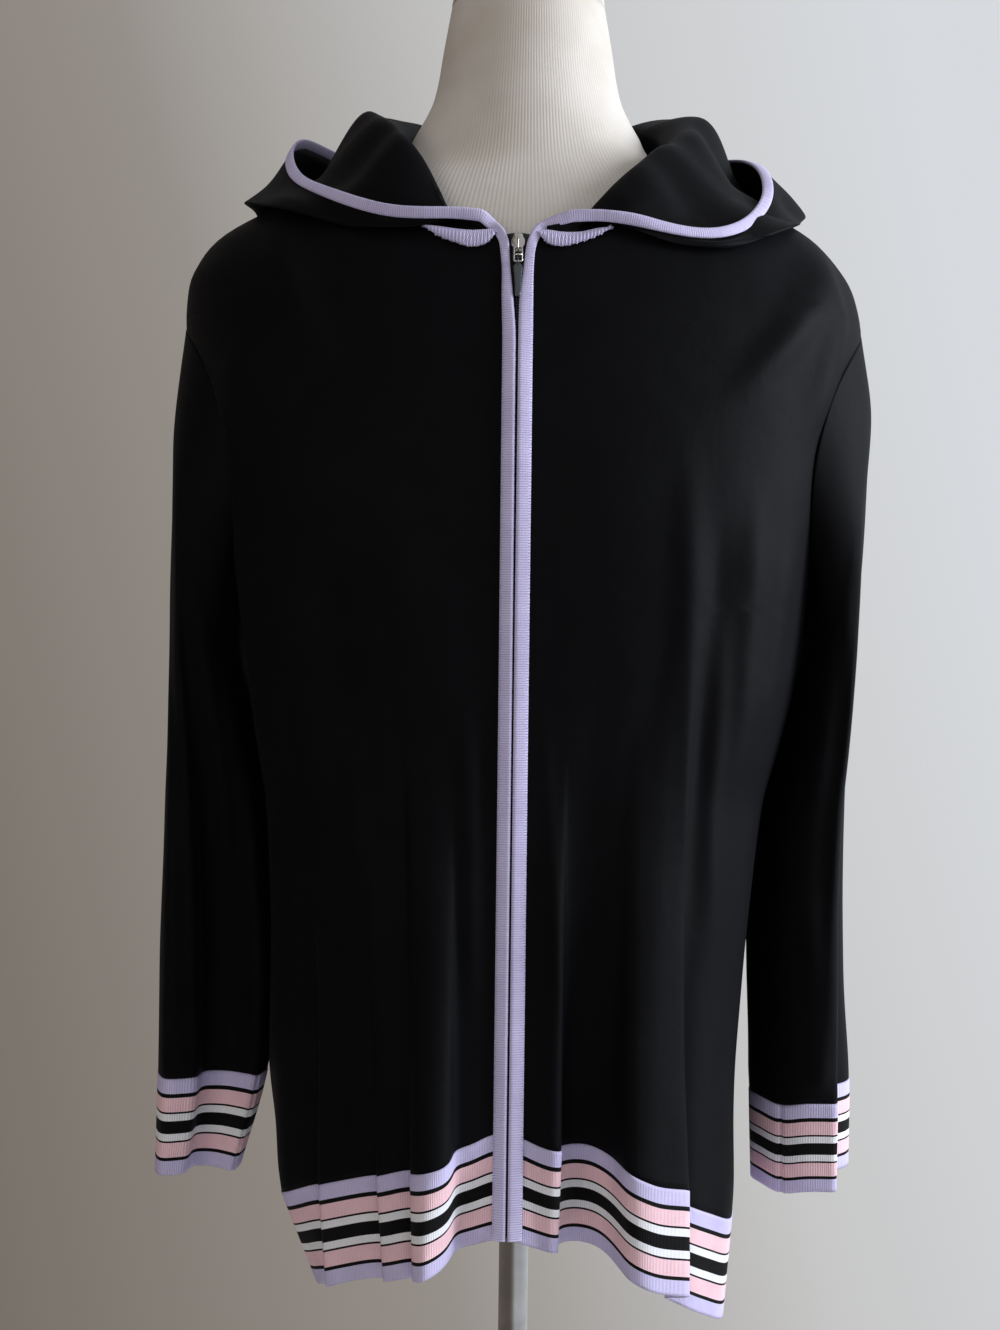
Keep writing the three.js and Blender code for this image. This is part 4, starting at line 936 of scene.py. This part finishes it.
def alongTree():
    # Sets a small shape at even steps on a curve, turned to follow it.
    tree, given = newTree("set along", {"Step": "Float", "Piece": "Object", "Sway": "Float", "Seed": "Int",
                                        "Material": "Material"})
    points = addNode(tree, "GeometryNodeCurveToPoints", {"Curve": given["Geometry"], "Length": given["Step"]},
                     mode="LENGTH")
    piece = addNode(tree, "GeometryNodeObjectInfo", {"Object": given["Piece"]})["Geometry"]
    least = mathNode(tree, "MULTIPLY", given["Sway"], -1.0)
    sway = addNode(tree, "FunctionNodeRandomValue", {2: least, 3: given["Sway"], "Seed": given["Seed"]},
                   data_type="FLOAT")[1]
    tilt = addNode(tree, "ShaderNodeCombineXYZ", {"Z": sway})["Vector"]
    turn = addNode(tree, "FunctionNodeRotateRotation", {"Rotation": points["Rotation"], "Rotate By": tilt},
                   rotation_space="LOCAL")["Rotation"]
    placed = addNode(tree, "GeometryNodeInstanceOnPoints",
                     {"Points": points["Points"], "Instance": piece, "Rotation": turn})
    return endTree(tree, given, placed["Instances"])


def runTree(obj, tree, values, name):
    # Applies a node tree and leaves a plain mesh.
    modifier = obj.modifiers.new("nodes", "NODES")
    modifier.node_group = tree
    for item in tree.interface.items_tree:
        if item.in_out == "INPUT" and item.name in values:
            modifier[item.identifier] = values[item.name]
    graph = bpy.context.evaluated_depsgraph_get()
    mesh = bpy.data.meshes.new_from_object(obj.evaluated_get(graph), preserve_all_data_layers=True,
                                           depsgraph=graph)
    obj.modifiers.remove(modifier)
    bpy.data.objects.remove(obj)
    mesh.name = name
    mesh.shade_smooth()
    return newObject(name, mesh)


def rowAlong(name, points, piece, step, sway, seed, material):
    # A row of one small piece along a line.
    curve = bpy.data.curves.new(name, "CURVE")
    curve.dimensions = "3D"
    spline = curve.splines.new("POLY")
    spline.points.add(len(points) - 1)
    spots = np.column_stack([points * 0.001, np.ones(len(points))])
    spline.points.foreach_set("co", spots.astype(np.float32).ravel())
    values = {"Step": step * 0.001, "Piece": piece, "Sway": sway, "Seed": seed, "Material": material}
    row = runTree(newObject("line", curve), setAlong, values, name)
    bpy.data.objects.remove(piece)
    return row


def tubeMesh(name, path, radii, up, closed=False, ring=12, material=None):
    # A rounded bar along a path, with its own half sizes across and out.
    path = np.asarray(path, float)
    tangent = unit(np.roll(path, -1, 0) - np.roll(path, 1, 0) if closed else np.gradient(path, axis=0))
    side = unit(np.cross(tangent, np.asarray(up, float)))
    rise = unit(np.cross(side, tangent))
    turn = fullTurn(ring)
    radii = np.broadcast_to(np.asarray(radii, float), (len(path), 2))
    grid = (path[:, None] + side[:, None] * (np.cos(turn) * radii[:, :1])[..., None]
            + rise[:, None] * (np.sin(turn) * radii[:, 1:])[..., None])
    if closed:
        grid = np.concatenate([grid, grid[:1]])
    obj = gridMesh(name, grid, wrap=True)
    if closed:
        mend(obj, merge=1e-6)
    else:
        mend(obj, (len(path), ring))
    if material:
        obj.data.materials.append(material)
    return obj


def joinObjects(name, objects):
    work = bmesh.new()
    for obj in objects:
        work.from_mesh(obj.data)
    mesh = objects[0].data.copy()
    work.to_mesh(mesh)
    work.free()
    for obj in objects:
        bpy.data.objects.remove(obj)
    mesh.name = name
    return newObject(name, mesh)


# The slider lies on the tapes: across, out of the zip (negative) and up along it.
sliderSeat = np.array([-4.991, -128.470, 1293.0])
zipSine, zipCosine = 0.3152, 0.9490  # how far the zip leans back there


def onZip(points):
    x, y, z = np.moveaxis(np.asarray(points, float), -1, 0)
    return sliderSeat + together(x, zipCosine * y + zipSine * z, -zipSine * y + zipCosine * z)


def plateMesh(name, outline, layers, material):
    # A flat shape with rounded faces: each layer is a distance out and a scale about the middle.
    outline = np.asarray(outline, float)
    closed = np.concatenate([outline[-1:], outline, outline[:2]])
    smooth = throughPoints(closed, (len(closed) - 1) * 6 + 1)[6:-12]
    centre = outline.mean(0)
    rings = [(centre + (smooth - centre) * scale, -out) for out, scale in layers]
    grid = np.array([onZip(together(ring[:, 0], y, ring[:, 1])) for ring, y in rings])
    obj = gridMesh(name, grid, wrap=True)
    mend(obj, (len(layers), len(smooth)))
    obj.data.materials.append(material)
    return obj


def roundedLoop(left, bottom, right, top, radius, out, steps=6):
    points = []
    for cx, cz, start in ((right - radius, top - radius, 0), (left + radius, top - radius, 90),
                          (left + radius, bottom + radius, 180), (right - radius, bottom + radius, 270)):
        for turn in np.radians(np.linspace(start, start + 90, steps)):
            points.append((cx + radius * np.cos(turn), -out, cz + radius * np.sin(turn)))
    return onZip(points)


def worn(obj, node=None, body="garment_on_form"):
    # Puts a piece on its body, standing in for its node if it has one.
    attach(obj, body)
    if node:
        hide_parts(node)
    return obj


def closeUvSeam(obj, uv):
    # The last faces of a closed ring run on past its end instead of back to the start.
    layer = obj.data.uv_layers["cloth"].data
    full = uv[0, -1, 0] + (uv[0, 1, 0] - uv[0, 0, 0])
    for face in obj.data.polygons:
        corners = [layer[i] for i in face.loop_indices]
        if max(c.uv[0] for c in corners) - min(c.uv[0] for c in corners) > full / 2:
            for corner in corners:
                if corner.uv[0] < full / 2:
                    corner.uv[0] += full


cloths = {  # wall, how far it lies from the modelled face, material and slot
    "knit": (cardigan["clothWall"], -1, knit, "knit"),
    "border": (cardigan["borderWall"], -0.6, borderKnit, "striped_knit"),
}


def clothPiece(name, node, kind, cloth, flip, wrap=False):
    # One sheet of the garment.
    grid, uv = cloth
    wall, offset, material, slot = cloths[kind]
    obj = gridMesh(name, grid, uv, wrap=wrap, flip=flip)
    if wrap:
        closeUvSeam(obj, uv)
    worn(finishWall(obj, wall, material, offset), node)


for side in sideSign:
    flip = side == "right"
    clothPiece(f"front_panel_{side}", f"front_{side}", "knit", frontPanel(side), flip)
    clothPiece(f"front_border_{side}", f"hem_border_{side}", "border", frontBorder(side),
               not flip)
clothPiece("back_panel", "back", "knit", backPanel(), False)
clothPiece("back_border", "hem_border_back", "border", backBorder(), True)
for side in sideSign:
    flip = side == "right"
    clothPiece(f"sleeve_cloth_{side}", f"sleeve_{side}", "knit", sleeveCloth(side), flip,
               wrap=True)
    clothPiece(f"cuff_rib_{side}", f"cuff_{side}", "border", cuffCloth(side), flip, wrap=True)
    clothPiece(f"hood_half_{side}", f"hood_{side}", "knit", hoodCloth(side), flip)
print("knit panels made")

ribs = ribTree()
setAlong = alongTree()
ribValues = {"Pitch": trims["ribPitch"] * 0.001, "Depth": trims["ribDepth"] * 0.001, "Material": trimKnit}
made = {"front_binding": [], "hood_rim": []}
for side, sign in sideSign.items():
    binding = bindingPath(side)
    split = int(np.argmax(binding[0][:, 2] > 1304))
    for label, part in (("front_binding", slice(0, split + 1)), ("hood_rim", slice(split, None))):
        obj = slab(*(values[part] for values in binding), sign, f"{label}_{side}")
        made[label].append(runTree(obj, ribs, ribValues, f"{label}_{side}"))
    worn(made["front_binding"][-1], f"front_band_{side}")
worn(joinObjects("hood_rim_binding", made["hood_rim"]), "hood_trim")
print("bindings made")

# The binding's lower leaf: distance from the middle, then its top and bottom edge.
crescentTables = {
    "left": [
        (8.5, 1306.0, 1304.0), (12, 1307.0, 1299.8), (16, 1306.8, 1296.6), (24, 1305.6, 1295.0),
        (36, 1305.8, 1298.0), (49, 1309.2, 1303.8), (58, 1310.6, 1309.8),
    ],
    "right": [
        (20.0, 1306.5, 1304.5), (24, 1307.4, 1299.0), (28, 1307.0, 1296.0), (37, 1306.6, 1294.2),
        (48, 1307.8, 1297.8), (59, 1309.8, 1302.6), (70, 1311.4, 1310.6),
    ],
}


def neckCrescent(side):
    # The lower leaf hangs over the top of the front below the hood's edge.
    rows = crescentTables[side]
    top, bottom = tableCurves(rows)
    t = np.linspace(0, 1, density["leafRows"])[:, None]
    x = np.linspace(rows[0][0], rows[-1][0], density["leafColumns"]) + 0 * t
    z = bottom(x) + (top(x) - bottom(x)) * t
    out = 2.6 + 1.4 * np.sin(np.pi * t) + 0.5 * (1 - t) * np.sin(x * 2.6)
    length = x * 1.12 + 2.2 * (t - 0.5) * (x - rows[2][0]) * 0.16
    return frontPoint(side, x, z, out), together(length * 0.001, t * 0.008)


for side in sideSign:
    grid, uv = neckCrescent(side)
    obj = gridMesh(f"neck_crescent_{side}", grid, uv, flip=side == "right")
    storeAlong(obj, uv[..., 0])
    obj = runTree(obj, ribs, ribValues | {"Pitch": 0.0016, "Depth": 0.00028}, f"neck_crescent_{side}")
    worn(finishWall(obj, 1.8, trimKnit), f"neck_trim_{side}")

    z = np.linspace(631, 1305.5, density["tapeRows"])[:, None]
    reach = np.linspace(0.15, 8.6, 9) + 0 * z
    tape = besideZip(side, reach, z, -2.2 - 3.0 * smoothStep(3, 9, reach))
    obj = gridMesh(f"zip_tape_weave_{side}", tape, together(reach, z) * 0.001, flip=side == "right")
    worn(finishWall(obj, 0.8, tapeWeave), f"zip_tape_{side}")

stitches = {"pitch": 2.1, "length": 1.5, "thick": 0.16, "sway": 0.22, "seed": 7}
teeth = {"pitch": 2.0, "stagger": 1}


def stitchRow(name, points):
    # A row of small loops that holds a binding down.
    half, thick = stitches["length"] / 2, stitches["thick"]
    loop = tubeMesh("stitch", [(-half, 0, 0), (-half * 0.4, 0, 0.22), (half * 0.4, 0, 0.22), (half, 0, 0)],
                    (thick, thick), (0, 1, 0), ring=6)
    return rowAlong(name, points, loop, stitches["pitch"], stitches["sway"], stitches["seed"], trimKnit)


for side in sideSign:
    z = np.linspace(634, 1292, 660)
    out, width = tableCurves(bindingTables[side])
    onBand = besideZip(side, out(z) + width(z) / 2 - 0.9, z, 2.7)
    rows = crescentTables[side]
    across = np.linspace(rows[1][0], rows[-2][0], 90)
    onLeaf = frontPoint(side, across, tableCurves(rows)[1](across) + 0.6, 3.0)
    sewn = [stitchRow("band_stitches", onBand), stitchRow("leaf_stitches", onLeaf)]
    worn(joinObjects(f"trim_stitches_{side}", sewn))

for side in sideSign:
    # The two rows of teeth are set between each other.
    z = np.linspace(632 + (teeth["stagger"] if side == "left" else 0), 1287, 160)
    tooth = tubeMesh("tooth", [(-1.1, 0, 0), (0.2, 0, 0), (0.8, 0, 0), (1.1, 0, 0)],
                     [(0.42, 0.45), (0.42, 0.45), (0.6, 0.6), (0.4, 0.4)], (0, 0, 1), ring=8)
    onZipLine = besideZip(side, 0.9, z, -1.5)
    worn(rowAlong(f"zip_teeth_{side}", onZipLine, tooth, teeth["pitch"], 0.0, 1, gunmetal))
print("trims and zip made")

sliderOutline = [
    (-2.9, -3.2), (0, -3.6), (2.9, -3.2), (3.3, -0.6), (4.7, 2.0), (4.9, 5.2), (3.5, 8.2), (2.8, 10.6),
    (0, 11.1), (-2.8, 10.6), (-3.5, 8.2), (-4.9, 5.2), (-4.7, 2.0), (-3.3, -0.6),
]
bailSide = [
    (0, -3.2, 9.0), (0, -4.6, 9.3), (0, -6.4, 8.0), (0, -7.4, 5.0), (0, -7.8, 1.6), (0, -7.2, -1.6),
    (0, -5.6, -3.0), (0, -3.2, -2.8),
]
tabOutline = [
    (-1.5, -14.2), (0, -14.0), (1.5, -14.2), (3.0, -16.0), (2.7, -22.0), (2.1, -32.0), (1.6, -38.3),
    (0, -39.0), (-1.6, -38.3), (-2.1, -32.0), (-2.7, -22.0), (-3.0, -16.0),
]
# The layers of each plate: distance out, and scale about its middle.
sliderLayers = [(0.3, 0.9), (0.6, 0.98), (1, 1), (2.4, 1), (3, 0.97), (3.5, 0.88), (3.8, 0.72), (3.95, 0.4)]
tabLayers = [(4.62, 0.93), (4.75, 0.985), (5, 1), (5.6, 1), (5.85, 0.985), (6, 0.94), (6.1, 0.8), (6.15, 0.5)]
bailWidths = ([0, 0.2, 0.45, 0.7, 1], [1.9, 2.1, 1.6, 0.7, 0.7])  # half width by the share of its length
bailSteps, eyeSteps, eyeRadius = 48, 28, 1.75
outOfZip = (0, -0.95, 0.3)

shield = plateMesh("slider_shield", sliderOutline, sliderLayers, nickel)
bailWidth = np.interp(np.linspace(0, 1, bailSteps), *bailWidths)
bailPath = onZip(throughPoints(bailSide, bailSteps))
bail = tubeMesh("slider_bail", bailPath, together(bailWidth, 0.55), (1, 0, 0), ring=14, material=nickel)
worn(joinObjects("zip_slider_body", [shield, bail]), "zip_slider")

linkRing = tubeMesh("link_ring", roundedLoop(-2.7, -12.4, 2.7, -1.1, 1.2, 5.3), (0.62, 0.62), outOfZip,
                    closed=True, material=nickel)
linkBar = tubeMesh("link_bar", onZip([(-2.7, -5.3, -7.1), (0, -5.4, -7.1), (2.7, -5.3, -7.1)]), (0.75, 0.7),
                   outOfZip, ring=10, material=nickel)
worn(joinObjects("zip_link", [linkRing, linkBar]), "zip_pull_link", "pull_link")

eyeTurns = fullTurn(eyeSteps)
eyePath = onZip(together(0.0, -5.3 - eyeRadius * np.sin(eyeTurns), -12.3 + eyeRadius * np.cos(eyeTurns)))
eye = tubeMesh("tab_eye", eyePath, (0.5, 1.6), outOfZip, closed=True, material=gunmetal)
tab = plateMesh("tab_plate", tabOutline, tabLayers, gunmetal)
worn(joinObjects("zip_tab", [eye, tab]), "zip_pull_tab", "pull_tab")
print("slider made")

formTable = [
    (770, 126, 98, 88), (778, 136, 106, 95), (850, 148, 120, 104), (918, 150, 122, 103), (970, 152, 122, 100),
    (1032, 160, 132, 102), (1100, 173, 145, 108), (1160, 184, 150, 113), (1200, 194, 145, 115),
    (1250, 206, 133, 113), (1300, 212, 115, 104), (1325, 209, 104, 95), (1350, 173.2, 91, 86),
    (1372, 121, 79, 76), (1390, 94, 74, 71), (1404, 86, 71, 68), (1428, 73, 67, 65), (1446, 68, 63, 62),
    (1471, 64, 60, 60), (1505, 58, 56, 56),
]
formHalf, formFront, formBack = tableCurves(formTable)
formFinish = {"neckRibs": 200, "ribPitch": 1.9, "ribDepth": 0.07, "discTurns": 96}
neckTop = 1505
# The disc on the neck from its underside up: height, and how far it keeps inside the neck.
discSteps = [(0.0, 0.6), (2.0, 0.6), (5.0, 1.2), (7.0, 2.6), (7.8, 5.0), (8.0, 9.0), (8.0, 30.0), (8.0, 55.9)]


def formRing(z, angle, shrink):
    sine, cosine = np.sin(np.radians(angle)), np.cos(np.radians(angle))
    half = formHalf(z) - shrink
    deep = np.where(cosine >= 0, formFront(z), formBack(z)) - shrink
    r = 1 / np.hypot(sine / half, cosine / deep)
    return r * sine, -r * cosine


def coveredForm():
    around, pitch = formFinish["neckRibs"], formFinish["ribPitch"] * 0.001
    angle = np.linspace(0, 360, around * 4, endpoint=False)
    z = np.concatenate([np.linspace(770, 1360, 14), np.linspace(1360, neckTop - 1, 24)[1:]])[:, None]
    uv = together(angle / 360 * around * pitch, z * 0.001)
    obj = gridMesh("ribbed_form_cover", together(*formRing(z, angle, 0.6), z), uv, wrap=True)
    closeUvSeam(obj, uv)
    mend(obj, (len(z), len(angle)))
    storeAlong(obj, uv[..., 0])
    values = {"Pitch": pitch, "Depth": formFinish["ribDepth"] * 0.001, "Material": formCover}
    return runTree(obj, ribs, values, "ribbed_form_cover")


def neckDisc():
    turns = formFinish["discTurns"]
    angle = np.linspace(0, 360, turns, endpoint=False)
    rings = [together(*formRing(neckTop, angle, shrink), neckTop + 0.3 + up) for up, shrink in discSteps]
    rings.insert(0, rings[0] * [0.02, 0.02, 1])
    uv = together(angle * 0.001, np.arange(len(rings))[:, None] * 0.01)
    obj = gridMesh("neck_top", np.array(rings), uv, wrap=True)
    mend(obj, (len(rings), turns))
    obj.data.materials.append(formCover)
    return obj


def lathe(name, profile, radius, turns):
    # A turned part: its profile runs up the outside, from the axis or round a bore.
    turn = fullTurn(turns)
    r, z = np.array(rounded(profile, radius), float).T[..., None]
    obj = gridMesh(name, together(r * np.cos(turn), r * np.sin(turn), z), wrap=True)
    mend(obj, merge=1e-7)
    obj.data.materials.append(chrome)
    return obj


def rounded(profile, radius, steps=4):
    # Takes the edge off each inner corner of a profile.
    points = [profile[0]]
    for a, b, c in zip(*(np.array(profile[k:], float) for k in range(3))):
        reach = min(radius, np.linalg.norm(b - a) / 2.1, np.linalg.norm(c - b) / 2.1)
        p, q = b + unit(a - b) * reach, b + unit(c - b) * reach
        for t in np.linspace(0, 1, steps):
            points.append(tuple((1 - t) ** 2 * p + 2 * t * (1 - t) * b + t * t * q))
    return points + [profile[-1]]


worn(coveredForm(), "form_body")
worn(neckDisc(), "form_neck_cap")
plate = [(0, 0), (171, 0), (172, 5), (169, 8), (60, 11), (24, 14), (0, 14)]
rod = [(0, 14.3), (11, 14.3), (11, 769.7), (0, 769.7)]
socket = [(11.3, 747.7), (16.3, 747.7), (18.3, 765.7), (27.3, 765.7), (27.3, 769.7), (11.3, 769.7),
          (11.3, 747.7)]
worn(lathe("stand_plate", plate, 3, 128), "stand_base")
worn(lathe("stand_rod", rod, 1, 64), "stand_pole")
worn(lathe("stand_socket", socket, 1, 96), "stand_collar")
print("form and stand made")

studio = {
    "floorTurns": 96,
    "cameraPlace": (0.0, -1.25, 1.012),
    "cameraTurn": 0.71,
    "cameraTilt": 0.69,
    "lens": 44.9,
    "wall": [(0.0, (0.165, 0.14, 0.118)), (0.4, (0.30, 0.275, 0.25)), (0.7, (0.57, 0.57, 0.57)),
             (1.0, (0.68, 0.70, 0.73))],
    "roomTone": [(0.0, (0.8, 0.79, 0.78)), (1.0, (1, 1, 1))],
    "floorTone": [(0.3, (0.60, 0.59, 0.57)), (0.7, (0.64, 0.63, 0.61))],
}
floorEdge = [(1, -0.2), (600, -0.2), (1200, -0.2), (1200, -12), (1, -12)]
turn = fullTurn(studio["floorTurns"])
floorRings = [together(r * np.cos(turn), r * np.sin(turn), z) for r, z in floorEdge]
floor = gridMesh("floor", np.array(floorRings), wrap=True)
mend(floor, (len(floorEdge), len(turn)))
floorPaint, tree, paint = newMaterial("pale floor")
feed(tree, paint, {"Base Color": rampOf(tree, noiseAt(tree, 12.0), studio["floorTone"]), "Roughness": 0.7})
floor.data.materials.append(floorPaint)

world = bpy.data.worlds.new("pale studio")
bpy.context.scene.world = world
world.use_nodes = True
tree = world.node_tree
heading = addNode(tree, "ShaderNodeTexCoord")["Generated"]
compass = addNode(tree, "ShaderNodeSeparateXYZ", {0: heading})
across = mathNode(tree, "MULTIPLY_ADD", compass["Z"], 0.27, compass["X"])
wallColour = rampOf(tree, spanOf(tree, across, {"From Min": -0.42, "From Max": 0.3}), studio["wall"])
depth = spanOf(tree, compass["Y"], {"From Min": -0.6, "From Max": 0.5})
room = multiplied(tree, wallColour, rampOf(tree, depth, studio["roomTone"]))
feed(tree, tree.nodes["Background"], {"Color": room, "Strength": 1.0})


def softLight(name, place, aim, size, power, colour):
    data = bpy.data.lights.new(name, "AREA")
    data.shape = "RECTANGLE"
    data.size, data.size_y = size
    data.energy = power
    data.color = colour
    light = newObject(name, data)
    light.location = place
    light.rotation_euler = (Vector(aim) - Vector(place)).to_track_quat("-Z", "Y").to_euler()


softLight("window", (3.0, -0.38, 1.75), (0, 0, 1.05), (1.3, 2.0), 165, (0.88, 0.93, 1.0))
softLight("fill", (-1.6, -2.4, 1.4), (0, 0, 1.0), (1.6, 1.6), 19, (1.0, 0.95, 0.9))

camera = newObject("camera", bpy.data.cameras.new("camera"))
camera.location = studio["cameraPlace"]
level = Euler((math.pi / 2, 0, math.radians(studio["cameraTurn"]))).to_quaternion()
camera.rotation_mode = "QUATERNION"
camera.rotation_quaternion = level @ Quaternion((0, 0, 1), math.radians(studio["cameraTilt"]))
camera.data.lens = studio["lens"]
bpy.context.scene.camera = camera
bpy.context.scene.view_settings.view_transform = "Standard"
print("studio made")
